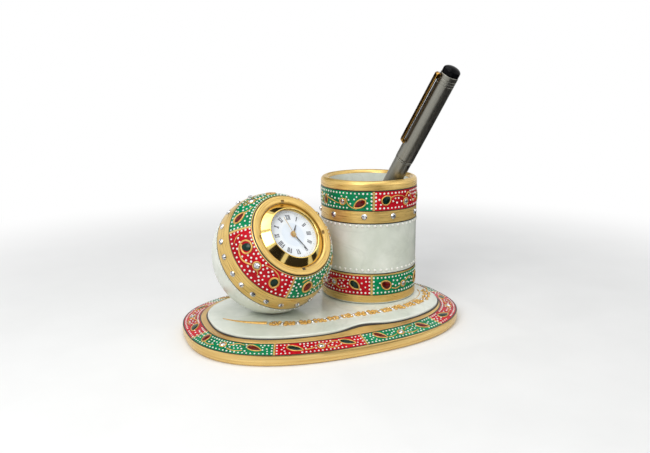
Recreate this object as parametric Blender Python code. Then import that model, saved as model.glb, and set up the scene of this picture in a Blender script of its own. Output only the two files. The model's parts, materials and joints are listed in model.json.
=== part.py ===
"""Marble desk clock with pen stand.

An oval marble base carries a ball with a push-in clock and a turned cup with a pen in it.
Named sizes are in millimetres and degrees, and MM turns them into metres.
World frame: origin under the middle of the base, +X along the base, +Y away from the viewer, +Z up.
Clock frame: origin at the ball's centre, +X towards three o'clock, +Y towards twelve, +Z out of the dial.
Pen frame: origin at the barrel's closed end, +Z along the pen, +X towards the clip.
"""
import math

import bmesh
import bpy
from mathutils import Matrix, Vector

MM = 0.001

# Clearances
GLUE_FILM = 0.3
SEAT_GAP = 0.3
WATCH_GAP = 0.1
LAYER_GAP = 0.15
MERGE_DISTANCE = 0.001
CUTTER_SPARE = 2.0

# Base
BASE_LENGTH = 150.0
BASE_WIDTH = 105.0
BASE_ROUNDNESS = 2.42
EDGE_TOP = 5.3
EDGE_BULGE_HEIGHT = 2.7
EDGE_BULGE = 1.0
EDGE_TOP_BULGE = 0.25
BORDER_WIDTH = 9.4
BORDER_TOP = 7.4
LEDGE_TOP = 7.7
PLATEAU_LENGTH = 126.6
PLATEAU_WIDTH = 76.6
PLATEAU_SHIFT = 1.4
PLATEAU_ROUNDNESS = 2.6
PLATEAU_TOP = 9.2
PLATEAU_EDGE_RADIUS = 0.8
WAIST_DEPTH = 4.1
WAIST_WIDTH = 11.0
WAIST_X = 7.0
BASE_STEPS = 72

# Ball
BALL_RADIUS = 31.3
BALL_X = -27.3
BALL_Y = 2.8
FOOT_RADIUS = 7.0
FACE_TILT = 35.6
FACE_TURN = 16.7
DIAL_ROLL = 5.5
RING_OUTER_RADIUS = 21.6
RING_CROWN = 0.75
RING_ROUNDNESS = 2.6
RING_INNER_HEIGHT = 22.2
NOTCH_WIDTH = 1.9
NOTCH_LENGTH = 1.1
NOTCH_DEPTH = 0.8
NOTCH_CUTTER_HEIGHT = 3.0
BALL_STEPS = 48

# Cup
CUP_X = 33.6
CUP_Y = 12.5
CUP_RADIUS = 26.75
CUP_WALL = 4.3
CUP_HEIGHT = 66.7
CUP_FLOOR = 4.9
CUP_FOOT_RADIUS = 0.8
CUP_FILLET = 3.0
CUP_STEPS = 48

# Clock insert, heights along the clock frame's Z
BEZEL_RADIUS = 17.5
BEZEL_BASE = 21.7
BEZEL_EDGE = 0.3
BEZEL_TOP = 25.3
BEZEL_OPENING = 13.1
BEZEL_LIP = 0.4
BEZEL_CREST = 0.4
LENS_REBATE = 0.05
LENS_RADIUS = 13.7
LENS_THICKNESS = 0.7
DIAL_THICKNESS = 0.4
DIAL_HEIGHT = 22.6
DIAL_RING_WALL = 0.5
CASE_RADIUS = 15.0
CASE_WALL = 0.8
CASE_LENGTH = 7.9
NECK_WALL = 0.8
NECK_LENGTH = 0.5
SHOULDER_THICKNESS = 0.7
GASKET_THICKNESS = 1.3
GASKET_LENGTH = 1.8
BACK_THICKNESS = 0.6
BACK_LIP = 0.8
POCKET_SPARE = 0.6
BEZEL_STEPS = 48
CASE_STEPS = 36

# Movement
PLATE_RADIUS = 12.6
PLATE_THICKNESS = 0.8
HOLDER_WALL = 2.1
HOLDER_BACK = 14.3
BRIDGE_RADIUS = 6.5
BRIDGE_X = -0.8
BRIDGE_Y = -1.2
BRIDGE_BACK = 16.3
BRIDGE_THICKNESS = 0.5
PILLAR_RADIUS = 0.8
SCREW_PLACES = ((4.6, -0.5), (-4.9, -4.2))
SCREW_RADIUS = 0.35
SCREW_HEAD_RADIUS = 0.75
SCREW_HEAD_HEIGHT = 0.4
ARBOR_RADIUS = 0.2
WHEEL_THICKNESS = 0.4
ROTOR_MODULE = 0.15
INTERMEDIATE_MODULE = 0.19
THIRD_MODULE = 0.12
MOTION_MODULE = 0.15
ROTOR_LEAVES = 6
INTERMEDIATE_TEETH = 30
INTERMEDIATE_LEAVES = 6
SECOND_TEETH = 36
SECOND_LEAVES = 8
THIRD_TEETH = 60
THIRD_LEAVES = 8
CENTRE_TEETH = 64
CANNON_LEAVES = 12
MINUTE_TEETH = 36
MINUTE_LEAVES = 10
HOUR_TEETH = 40
THIRD_BEARING = 150.0
INTERMEDIATE_BEARING = 270.0
ROTOR_BEARING = -35.0
MINUTE_WHEEL_BEARING = 20.0
TIP_HEIGHT = 0.55
ROOT_DEPTH = 1.3
MAGNET_RADIUS = 0.95
MAGNET_LENGTH = 1.0
CENTRE_PIPE_WALL = 0.12
CANNON_PIPE_WALL = 0.15
HOUR_PIPE_WALL = 0.25
COIL_Y = -9.3
COIL_HEIGHT = 17.6
COIL_RADIUS = 1.2
COIL_BORE = 0.6
COIL_LENGTH = 7.6
CORE_LENGTH = 10.4
CORE_WIDTH = 0.7
CORE_THICKNESS = 0.5
STATOR_THICKNESS = 0.45
STATOR_HALF_WIDTH = 5.5
STATOR_FOOT = 1.3
STATOR_BACK_Y = -6.2
STATOR_EYE_WALL = 0.55
BOARD_RADIUS = 11.3
BOARD_EDGE_Y = 0.55
BOARD_THICKNESS = 0.35
CAN_RADIUS = 0.65
CAN_LENGTH = 5.0
CAN_PLACE = (-0.5, -7.4)
CHIP_SIZE = 2.4
CHIP_THICKNESS = 0.7
CHIP_PLACE = (-7.6, -2.4)
BATTERY_RADIUS = 4.75
BATTERY_THICKNESS = 2.05
BATTERY_PLACE = (3.3, 5.7)
BATTERY_FRONT = 15.8
BATTERY_EDGE = 0.3
STRAP_WIDTH = 1.8
STRAP_THICKNESS = 0.2
STRAP_X = 6.5
STRAP_FOOT = 1.2
STRAP_START_Y = -3.4
STRAP_END_Y = 8.4

# Winding stem and setting lever
STEM_HEIGHT = 17.9
STEM_RADIUS = 0.35
STEM_START = 6.9
STEM_IN_CROWN = 0.35
GROOVE_START = 8.9
GROOVE_LENGTH = 1.0
GROOVE_RADIUS = 0.2
SLIDING_PINION_START = 7.4
SLIDING_PINION_LENGTH = 1.1
SLIDING_PINION_LEAVES = 12
CROWN_RADIUS = 1.4
CROWN_THICKNESS = 1.0
CROWN_FLUTES = 16
CROWN_FLUTE_DEPTH = 0.084
LEVER_PIVOT_Y = 3.0
LEVER_THICKNESS = 0.5
LEVER_BOSS_RADIUS = 1.0
LEVER_NOSE_WIDTH = 0.5
LEVER_POST_RADIUS = 0.4

# Hands, with their angles clockwise from twelve
HAND_THICKNESS = 0.15
HOUR_HAND_LENGTH = 5.8
HOUR_HAND_WIDTH = 0.9
HOUR_HAND_TIP = 0.3
HOUR_HAND_ANGLE = 33.0
MINUTE_HAND_LENGTH = 10.0
MINUTE_HAND_WIDTH = 0.7
MINUTE_HAND_TIP = 0.25
MINUTE_HAND_ANGLE = 150.0
SECOND_HAND_LENGTH = 9.6
SECOND_HAND_WIDTH = 0.24
SECOND_HAND_TAIL = 3.0
SECOND_HAND_ANGLE = -17.0
BOSS_WALL = 0.45

# Pen, lengths from the barrel's closed end
PEN_BEARING = -65.2
CLIP_TURN = 30.0
BARREL_RADIUS = 4.7
BARREL_WALL = 1.1
BARREL_LENGTH = 81.8
BARREL_END_RADIUS = 2.0
BARREL_END_WALL = 2.2
SEAM_RING_RADIUS = 4.85
SEAM_RING_LENGTH = 0.6
CAP_MOUTH_RADIUS = 4.9
CAP_TOP_RADIUS = 4.7
CAP_LENGTH = 49.6
CAP_WALL = 0.35
LINER_WALL = 0.35
LINER_INSET = 1.5
SECTION_TAIL = 8.0
SECTION_GRIP_RADIUS = 3.6
SECTION_GRIP_LENGTH = 6.0
SECTION_FRONT_RADIUS = 2.4
SECTION_NOSE_RADIUS = 0.95
SECTION_NOSE_LENGTH = 8.0
SECTION_MOUTH_LENGTH = 1.0
REFILL_RADIUS = 1.2
REFILL_TAIL = 58.0
REFILL_POINT_RADIUS = 0.4
REFILL_POINT_LENGTH = 2.6
REFILL_TIP_LENGTH = 0.6
REFILL_POINT_SPARE = 1.0
FINIAL_RADIUS = 4.5
FINIAL_LENGTH = 4.0
FINIAL_DOME = 2.2
FINIAL_PLUG = 2.6
CLIP_LENGTH = 40.4
CLIP_WIDTH = 2.8
CLIP_THICKNESS = 0.8
CLIP_STAND_OFF = 1.6
CLIP_ROOT = 2.2
CLIP_BELOW_CAP_END = 0.6
CLIP_BALL_RADIUS = 1.0
CLIP_BALL_SHOULDER = 1.0
CLIP_BEND = 0.8
PEN_STEPS = 24

# Derived places
BALL_CENTRE = Vector((BALL_X, BALL_Y, PLATEAU_TOP + GLUE_FILM + math.sqrt(BALL_RADIUS**2 - FOOT_RADIUS**2)))
CUP_FOOT_Z = PLATEAU_TOP + GLUE_FILM
SEAT_HEIGHT = BEZEL_BASE - SEAT_GAP
SEAT_RADIUS = BEZEL_RADIUS + SEAT_GAP
LENS_TOP = BEZEL_TOP - BEZEL_LIP - SEAT_GAP
BEZEL_BORE = LENS_RADIUS + SEAT_GAP
DIAL_BACK = DIAL_HEIGHT - DIAL_THICKNESS
CASE_TOP = BEZEL_BASE - SEAT_GAP
CASE_BACK = CASE_TOP - CASE_LENGTH
NECK_RADIUS = BEZEL_BORE - SEAT_GAP
CASE_BORE = CASE_RADIUS - CASE_WALL
GASKET_RADIUS = CASE_RADIUS + SEAT_GAP + GASKET_THICKNESS
POCKET_RADIUS = GASKET_RADIUS + SEAT_GAP
BACK_FRONT = CASE_BACK - SEAT_GAP
POCKET_FLOOR = BACK_FRONT - BACK_THICKNESS - POCKET_SPARE
PLATE_FRONT = CASE_TOP - SHOULDER_THICKNESS
PLATE_BACK = PLATE_FRONT - PLATE_THICKNESS
HOLDER_RADIUS = CASE_BORE - SEAT_GAP
BRIDGE_FRONT = BRIDGE_BACK + BRIDGE_THICKNESS
PILLAR_TOP = PLATE_BACK - SEAT_GAP
INTERMEDIATE_LEVEL = BRIDGE_FRONT + LAYER_GAP
SECOND_LEVEL = INTERMEDIATE_LEVEL + WHEEL_THICKNESS + LAYER_GAP
THIRD_LEVEL = SECOND_LEVEL + WHEEL_THICKNESS + LAYER_GAP
CENTRE_LEVEL = THIRD_LEVEL + WHEEL_THICKNESS + 2.0 * LAYER_GAP
MINUTE_LEVEL = PLATE_FRONT + 2.0 * LAYER_GAP
HOUR_LEVEL = MINUTE_LEVEL + WHEEL_THICKNESS + LAYER_GAP
ARBOR_HOLE = ARBOR_RADIUS + LAYER_GAP
ARBOR_BACK = BRIDGE_BACK + LAYER_GAP
ARBOR_FRONT = PLATE_FRONT - 2.0 * LAYER_GAP
HOUR_HAND_BACK = DIAL_HEIGHT + 2.0 * LAYER_GAP
MINUTE_HAND_BACK = HOUR_HAND_BACK + HAND_THICKNESS + LAYER_GAP
SECOND_HAND_BACK = MINUTE_HAND_BACK + HAND_THICKNESS + LAYER_GAP
CENTRE_BORE = ARBOR_RADIUS + WATCH_GAP
CENTRE_PIPE_RADIUS = CENTRE_BORE + CENTRE_PIPE_WALL
CANNON_BORE = CENTRE_PIPE_RADIUS + WATCH_GAP
CANNON_PIPE_RADIUS = CANNON_BORE + CANNON_PIPE_WALL
HOUR_BORE = CANNON_PIPE_RADIUS + WATCH_GAP
HOUR_PIPE_RADIUS = HOUR_BORE + HOUR_PIPE_WALL
DIAL_HOLE = HOUR_PIPE_RADIUS + 2.0 * WATCH_GAP
BOARD_FRONT = BRIDGE_BACK - SEAT_GAP
BOARD_BACK = BOARD_FRONT - BOARD_THICKNESS
SCREW_HEAD_FRONT = BOARD_BACK - LAYER_GAP
STRAP_BACK = BATTERY_FRONT - BATTERY_THICKNESS - LAYER_GAP - STRAP_THICKNESS
CROWN_START = CASE_RADIUS + SEAT_GAP
LEVER_PIVOT_X = GROOVE_START + GROOVE_LENGTH / 2.0
LEVER_REACH = LEVER_PIVOT_Y - GROOVE_RADIUS - LAYER_GAP
SEAM_RING_START = BARREL_LENGTH + SEAT_GAP
CAP_START = SEAM_RING_START + SEAM_RING_LENGTH + SEAT_GAP
CAP_END = CAP_START + CAP_LENGTH
BARREL_BORE = BARREL_RADIUS - BARREL_WALL
CAP_BORE = CAP_MOUTH_RADIUS - CAP_WALL
CAP_TOP_BORE = CAP_TOP_RADIUS - CAP_WALL
SECTION_THREAD_RADIUS = BARREL_BORE - SEAT_GAP
LINER_END = CAP_END - FINIAL_PLUG - SEAT_GAP - LINER_WALL
SECTION_END = LINER_END - REFILL_POINT_SPARE - REFILL_POINT_LENGTH


def bearing(distance, degrees):
    """A point at a distance and an angle from the clock's axis, anticlockwise from three o'clock."""
    angle = math.radians(degrees)
    return distance * math.cos(angle), distance * math.sin(angle)


def centre_distance(module, first_teeth, second_teeth):
    """How far apart the axes of two meshing wheels stand."""
    return module * (first_teeth + second_teeth) / 2.0


THIRD_DISTANCE = centre_distance(THIRD_MODULE, SECOND_LEAVES, THIRD_TEETH)
CENTRE_MODULE = 2.0 * THIRD_DISTANCE / (THIRD_LEAVES + CENTRE_TEETH)
THIRD_PLACE = bearing(THIRD_DISTANCE, THIRD_BEARING)
INTERMEDIATE_DISTANCE = centre_distance(INTERMEDIATE_MODULE, INTERMEDIATE_LEAVES, SECOND_TEETH)
INTERMEDIATE_PLACE = bearing(INTERMEDIATE_DISTANCE, INTERMEDIATE_BEARING)
ROTOR_STEP = bearing(centre_distance(ROTOR_MODULE, ROTOR_LEAVES, INTERMEDIATE_TEETH), ROTOR_BEARING)
ROTOR_PLACE = (INTERMEDIATE_PLACE[0] + ROTOR_STEP[0], INTERMEDIATE_PLACE[1] + ROTOR_STEP[1])
MINUTE_WHEEL_DISTANCE = centre_distance(MOTION_MODULE, CANNON_LEAVES, MINUTE_TEETH)
HOUR_MODULE = 2.0 * MINUTE_WHEEL_DISTANCE / (MINUTE_LEAVES + HOUR_TEETH)
MINUTE_WHEEL_PLACE = bearing(MINUTE_WHEEL_DISTANCE, MINUTE_WHEEL_BEARING)


def clear_scene():
    """Take away every object that the file starts with."""
    for item in list(bpy.data.objects):
        bpy.data.objects.remove(item, do_unlink=True)


def material(name, colour, roughness, metallic=0.0):
    """A Principled material with one colour, made once under its name."""
    found = bpy.data.materials.get(name)
    if found:
        return found
    made = bpy.data.materials.new(name)
    made.use_nodes = True
    shader = made.node_tree.nodes["Principled BSDF"]
    shader.inputs["Base Color"].default_value = (*colour, 1.0)
    shader.inputs["Roughness"].default_value = roughness
    shader.inputs["Metallic"].default_value = metallic
    made.diffuse_color = (*colour, 1.0)
    return made


def marble():
    return material("white_marble", (0.72, 0.71, 0.62), 0.35)


def brass():
    return material("polished_brass", (0.83, 0.62, 0.22), 0.15, 1.0)


def steel():
    return material("steel", (0.60, 0.60, 0.60), 0.3, 1.0)


def copper():
    return material("copper_wire", (0.72, 0.33, 0.14), 0.35, 1.0)


def black_plastic():
    return material("black_plastic", (0.02, 0.02, 0.02), 0.4)


def circle(radius, steps, centre=(0.0, 0.0), phase=0.0):
    """Points of a circle, anticlockwise."""
    turn = 2.0 * math.pi / steps
    return [(centre[0] + radius * math.cos(phase + turn * step),
             centre[1] + radius * math.sin(phase + turn * step)) for step in range(steps)]


def hole(radius, steps=16, centre=(0.0, 0.0)):
    """Points of a round hole, with the given radius left clear between its flats."""
    return circle(radius / math.cos(math.pi / steps), steps, centre)


def arc(centre, radius, start, end, steps):
    """Points of an arc from one angle to another, in degrees."""
    angles = [math.radians(start + (end - start) * step / steps) for step in range(steps + 1)]
    return [(centre[0] + radius * math.cos(a), centre[1] + radius * math.sin(a)) for a in angles]


def pitch_radius(teeth, module):
    return teeth * module / 2.0


def toothed(teeth, module, centre=(0.0, 0.0), phase=0.0):
    """The outline of a wheel with pointed teeth; phase is the angle of one tooth, in degrees."""
    tip = pitch_radius(teeth, module) + TIP_HEIGHT * module
    root = pitch_radius(teeth, module) - ROOT_DEPTH * module
    points = []
    for tooth in range(2 * teeth):
        angle = math.radians(phase) + math.pi * tooth / teeth
        radius = root if tooth % 2 else tip
        points.append((centre[0] + radius * math.cos(angle), centre[1] + radius * math.sin(angle)))
    return points


class Shell:
    """A closed surface that is put together from flat rings of points."""

    def __init__(self):
        self.mesh = bmesh.new()

    def ring(self, outline, height):
        """Lay a closed ring of points at one height and return its corners and edges."""
        corners = [self.mesh.verts.new((x * MM, y * MM, height * MM)) for x, y in outline]
        edges = [self.mesh.edges.new((corners[i - 1], corners[i])) for i in range(len(corners))]
        return corners, edges

    def wall(self, lower, upper):
        """Join two rings that have as many points as each other."""
        low, high = lower[0], upper[0]
        for i in range(len(low)):
            self.mesh.faces.new((low[i - 1], low[i], high[i], high[i - 1]))

    def tube(self, outline, low, high):
        """Lay the same outline at two heights, wall it in, and return both rings."""
        lower = self.ring(outline, low)
        upper = self.ring(outline, high)
        self.wall(lower, upper)
        return lower, upper

    def cap(self, *rings):
        """Fill the flat area between the rings, which all lie at one height."""
        edges = [edge for ring in rings for edge in ring[1]]
        bmesh.ops.triangle_fill(self.mesh, use_beauty=True, use_dissolve=False, edges=edges)

    def finish(self, name, finish, parent=None):
        """Turn the surface into a named object."""
        bmesh.ops.recalc_face_normals(self.mesh, faces=self.mesh.faces[:])
        return add_object(name, self.mesh, finish, parent)


def add_object(name, mesh_data, finish, parent=None):
    """Make a smooth shaded object from mesh data, and free that data."""
    mesh = bpy.data.meshes.new(name)
    mesh_data.to_mesh(mesh)
    mesh_data.free()
    mesh.shade_smooth()
    mesh.set_sharp_from_angle(angle=math.radians(35.0))
    mesh.materials.append(finish)
    item = bpy.data.objects.new(name, mesh)
    bpy.context.scene.collection.objects.link(item)
    item.parent = parent
    return item


def stepped(name, levels, finish, parent, bore=0.0):
    """A solid of stacked outlines: each level is an outline, its low end and its high end."""
    shell = Shell()
    rings = [shell.tube(*level) for level in levels]
    for (_, below), (above, _) in zip(rings, rings[1:]):
        shell.cap(below, above)
    if bore:
        first, last = shell.tube(hole(bore), levels[0][1], levels[-1][2])
        shell.cap(rings[0][0], first)
        shell.cap(rings[-1][1], last)
    else:
        shell.cap(rings[0][0])
        shell.cap(rings[-1][1])
    return shell.finish(name, finish, parent)


def plate(name, outline, holes, low, high, finish, parent):
    """A flat plate with holes through it."""
    shell = Shell()
    pairs = [shell.tube(shape, low, high) for shape in (outline, *holes)]
    shell.cap(*[pair[0] for pair in pairs])
    shell.cap(*[pair[1] for pair in pairs])
    return shell.finish(name, finish, parent)


def turned_mesh(profile, steps):
    """Spin a profile of (radius, height) points round Z; it is open where it starts on the axis."""
    mesh = bmesh.new()
    corners = [mesh.verts.new((radius * MM, 0.0, height * MM)) for radius, height in profile]
    edges = [mesh.edges.new(pair) for pair in zip(corners, corners[1:])]
    if profile[0][0] > 0.0:
        edges.append(mesh.edges.new((corners[-1], corners[0])))
    bmesh.ops.spin(mesh, geom=corners + edges, cent=(0.0, 0.0, 0.0), axis=(0.0, 0.0, 1.0),
                   angle=2.0 * math.pi, steps=steps, use_merge=True, use_duplicate=False)
    bmesh.ops.remove_doubles(mesh, verts=mesh.verts[:], dist=MERGE_DISTANCE * MM)
    bmesh.ops.recalc_face_normals(mesh, faces=mesh.faces[:])
    return mesh


def turned(name, profile, steps, finish, parent=None):
    """A turned piece as a named object."""
    return add_object(name, turned_mesh(profile, steps), finish, parent)


def cut(target, cutter):
    """Take a cutter's shape out of a piece with a live Boolean."""
    cutter.hide_render = True
    cutter.display_type = "WIRE"
    modifier = target.modifiers.new("cut_" + cutter.name, "BOOLEAN")
    modifier.operation = "DIFFERENCE"
    modifier.solver = "EXACT"
    modifier.object = cutter


def superellipse(half_length, half_width, power, angle):
    """A point and its outward normal on a superellipse at a parameter angle."""
    c, s = math.cos(angle), math.sin(angle)
    x = half_length * math.copysign(abs(c) ** (2.0 / power), c)
    y = half_width * math.copysign(abs(s) ** (2.0 / power), s)
    normal = Vector((math.copysign(abs(x / half_length) ** (power - 1.0), x) / half_length,
                     math.copysign(abs(y / half_width) ** (power - 1.0), y) / half_width))
    return Vector((x, y)), normal.normalized()


def even_angles(half_length, half_width, power, steps):
    """Parameter angles that space a superellipse's points evenly round its rim."""
    fine = 40 * steps
    points = [superellipse(half_length, half_width, power, 2.0 * math.pi * i / fine)[0]
              for i in range(fine + 1)]
    lengths = [0.0]
    for first, second in zip(points, points[1:]):
        lengths.append(lengths[-1] + (second - first).length)
    angles = []
    position = 0
    for step in range(steps):
        while lengths[position] < lengths[-1] * step / steps:
            position += 1
        angles.append(2.0 * math.pi * position / fine)
    return angles


def base_outline(inset, angles):
    """The base's plan, drawn in by an inset."""
    points = []
    for angle in angles:
        point, normal = superellipse(BASE_LENGTH / 2.0, BASE_WIDTH / 2.0, BASE_ROUNDNESS, angle)
        points.append(tuple(point - normal * inset))
    return points


def plateau_outline(inset, angles):
    """The plateau's plan, an oval with a waist on each long side, drawn in by an inset."""
    half_length = PLATEAU_LENGTH / 2.0
    half_width = PLATEAU_WIDTH / 2.0
    points = []
    for angle in angles:
        point, normal = superellipse(half_length, half_width, PLATEAU_ROUNDNESS, angle)
        x = point.x + PLATEAU_SHIFT
        waist = WAIST_DEPTH * math.exp(-((x - WAIST_X) / WAIST_WIDTH) ** 2)
        y = point.y - math.copysign(waist, point.y) * min(1.0, abs(point.y) / WAIST_DEPTH)
        points.append((x - normal.x * inset, y - normal.y * inset))
    return points


def make_base():
    """The base: round edge, sloping border, ledge and raised plateau."""
    angles = even_angles(BASE_LENGTH / 2.0, BASE_WIDTH / 2.0, BASE_ROUNDNESS, BASE_STEPS)
    shell = Shell()
    edge_steps = 6
    rings = []
    for step in range(edge_steps + 1):
        height = EDGE_TOP * step / edge_steps
        reach = EDGE_BULGE_HEIGHT if height < EDGE_BULGE_HEIGHT else EDGE_TOP - EDGE_BULGE_HEIGHT
        depth = EDGE_BULGE if height < EDGE_BULGE_HEIGHT else EDGE_TOP_BULGE
        inset = depth * (1.0 - math.sqrt(max(0.0, 1.0 - ((height - EDGE_BULGE_HEIGHT) / reach) ** 2)))
        rings.append(shell.ring(base_outline(inset, angles), height))
    border_inset = EDGE_TOP_BULGE + BORDER_WIDTH
    rings.append(shell.ring(base_outline(border_inset, angles), BORDER_TOP))
    rings.append(shell.ring(base_outline(border_inset + LEDGE_TOP - BORDER_TOP, angles), LEDGE_TOP))
    rings.append(shell.ring(plateau_outline(0.0, angles), LEDGE_TOP))
    for step in range(4):
        turn = math.radians(30.0 * step)
        inset = PLATEAU_EDGE_RADIUS * (1.0 - math.cos(turn))
        height = PLATEAU_TOP - PLATEAU_EDGE_RADIUS * (1.0 - math.sin(turn))
        rings.append(shell.ring(plateau_outline(inset, angles), height))
    for lower, upper in zip(rings, rings[1:]):
        shell.wall(lower, upper)
    shell.cap(rings[0])
    shell.cap(rings[-1])
    return shell.finish("base_slab", marble())


def ring_lip():
    """The ball's face ring in section, from its outer edge on the ball to the bezel's seat."""
    outer_height = math.sqrt(BALL_RADIUS**2 - RING_OUTER_RADIUS**2)
    middle = (RING_OUTER_RADIUS + SEAT_RADIUS) / 2.0
    half_width = (RING_OUTER_RADIUS - SEAT_RADIUS) / 2.0
    steps = 8
    points = []
    for step in range(steps + 1):
        across = math.cos(math.pi * step / steps)
        share = (1.0 - across) / 2.0
        crown = RING_CROWN * (1.0 - abs(across) ** RING_ROUNDNESS) ** (1.0 / RING_ROUNDNESS)
        height = outer_height + (RING_INNER_HEIGHT - outer_height) * share + crown
        points.append((middle + half_width * across, height))
    return points


def make_ball(clock):
    """The ball, turned round the clock's axis, with its flat foot, pocket and ring notches."""
    ring_angle = math.degrees(math.acos(RING_OUTER_RADIUS / BALL_RADIUS))
    profile = arc((0.0, 0.0), BALL_RADIUS, -90.0, ring_angle, 17)[:-1]
    profile[0] = (0.0, -BALL_RADIUS)
    profile += ring_lip()
    profile += [(SEAT_RADIUS, SEAT_HEIGHT), (POCKET_RADIUS, SEAT_HEIGHT)]
    profile += [(POCKET_RADIUS, POCKET_FLOOR), (0.0, POCKET_FLOOR)]
    mesh = turned_mesh(profile, BALL_STEPS)
    down = clock.matrix_world.to_3x3().transposed() @ Vector((0.0, 0.0, -1.0))
    foot_depth = math.sqrt(BALL_RADIUS**2 - FOOT_RADIUS**2) * MM
    everything = mesh.verts[:] + mesh.edges[:] + mesh.faces[:]
    sliced = bmesh.ops.bisect_plane(mesh, geom=everything, plane_co=down * foot_depth, plane_no=down,
                                    clear_outer=True)
    rim = [item for item in sliced["geom_cut"] if isinstance(item, bmesh.types.BMEdge)]
    bmesh.ops.contextual_create(mesh, geom=rim)
    bmesh.ops.recalc_face_normals(mesh, faces=mesh.faces[:])
    ball = add_object("ball_body", mesh, marble(), clock)
    for quarter in range(4):
        cut(ball, make_notch_cutter(quarter, clock))
    return ball


def make_notch_cutter(quarter, clock):
    """A block that cuts one notch into the ring's inner edge."""
    start = SEAT_RADIUS - NOTCH_LENGTH
    end = SEAT_RADIUS + NOTCH_LENGTH
    half = NOTCH_WIDTH / 2.0
    outline = [(start, -half), (end, -half), (end, half), (start, half)]
    low = RING_INNER_HEIGHT + RING_CROWN - NOTCH_DEPTH
    cutter = plate(f"notch_cutter_{quarter}", outline, [], low, low + NOTCH_CUTTER_HEIGHT,
                   marble(), clock)
    cutter.rotation_euler = (0.0, 0.0, math.radians(90.0 * quarter))
    return cutter


def make_cup():
    """The turned cup: round lip, straight wall and a closed floor with a fillet."""
    lip = CUP_WALL / 2.0
    inner = CUP_RADIUS - CUP_WALL
    profile = [(0.0, 0.0)]
    profile += arc((CUP_RADIUS - CUP_FOOT_RADIUS, CUP_FOOT_RADIUS), CUP_FOOT_RADIUS, -90.0, 0.0, 3)
    profile += arc((CUP_RADIUS - lip, CUP_HEIGHT - lip), lip, 0.0, 180.0, 8)
    profile += arc((inner - CUP_FILLET, CUP_FLOOR + CUP_FILLET), CUP_FILLET, 0.0, -90.0, 3)
    profile.append((0.0, CUP_FLOOR))
    cup = turned("pen_cup", profile, CUP_STEPS, marble())
    cup.location = Vector((CUP_X, CUP_Y, CUP_FOOT_Z)) * MM
    return cup


def clock_matrix():
    """Place and turn of the clock frame."""
    tilt = math.radians(FACE_TILT)
    turn = math.radians(FACE_TURN)
    roll = math.radians(DIAL_ROLL)
    out = Vector((math.sin(turn) * math.cos(tilt), -math.cos(turn) * math.cos(tilt), math.sin(tilt)))
    level = Vector((math.cos(turn), math.sin(turn), 0.0))
    rise = out.cross(level)
    three = level * math.cos(roll) - rise * math.sin(roll)
    twelve = level * math.sin(roll) + rise * math.cos(roll)
    axes = Matrix((three, twelve, out)).transposed().to_4x4()
    return Matrix.Translation(BALL_CENTRE * MM) @ axes


def pen_matrix():
    """Place and turn of the pen frame: the barrel's end is in the cup's corner, its side on the lip."""
    lip = CUP_WALL / 2.0
    lip_radius = CUP_RADIUS - lip
    lip_z = CUP_FOOT_Z + CUP_HEIGHT - lip
    wall = CUP_RADIUS - CUP_WALL - SEAT_GAP
    floor = CUP_FOOT_Z + CUP_FLOOR + SEAT_GAP
    flat = BARREL_RADIUS - BARREL_END_RADIUS
    reach = lip + BARREL_RADIUS + SEAT_GAP

    def tip_and_distance(lean):
        sine, cosine = math.sin(lean), math.cos(lean)
        out = -wall + BARREL_END_RADIUS * (1.0 - sine) + flat * cosine
        up = floor + BARREL_END_RADIUS * (1.0 - cosine) + flat * sine
        return out, up, (lip_radius - out) * cosine - (lip_z - up) * sine

    low, high = math.radians(5.0), math.radians(60.0)
    for _ in range(60):
        lean = (low + high) / 2.0
        if tip_and_distance(lean)[2] > reach:
            low = lean
        else:
            high = lean
    out, up, _ = tip_and_distance(lean)
    heading = math.radians(PEN_BEARING)
    across = Vector((math.cos(heading), math.sin(heading), 0.0))
    along = across * math.sin(lean) + Vector((0.0, 0.0, math.cos(lean)))
    tip = Vector((CUP_X, CUP_Y, 0.0)) + across * out + Vector((0.0, 0.0, up))
    side = along.cross(Vector((0.0, 0.0, 1.0))).normalized()
    upper = side.cross(along)
    turn = math.radians(CLIP_TURN)
    clip_way = side * math.cos(turn) + upper * math.sin(turn)
    axes = Matrix((clip_way, along.cross(clip_way), along)).transposed().to_4x4()
    return Matrix.Translation(tip * MM) @ axes


def make_frame(name, matrix):
    """An empty that carries the pieces of one frame."""
    empty = bpy.data.objects.new(name, None)
    bpy.context.scene.collection.objects.link(empty)
    empty.matrix_world = matrix
    bpy.context.view_layer.update()
    return empty


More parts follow.
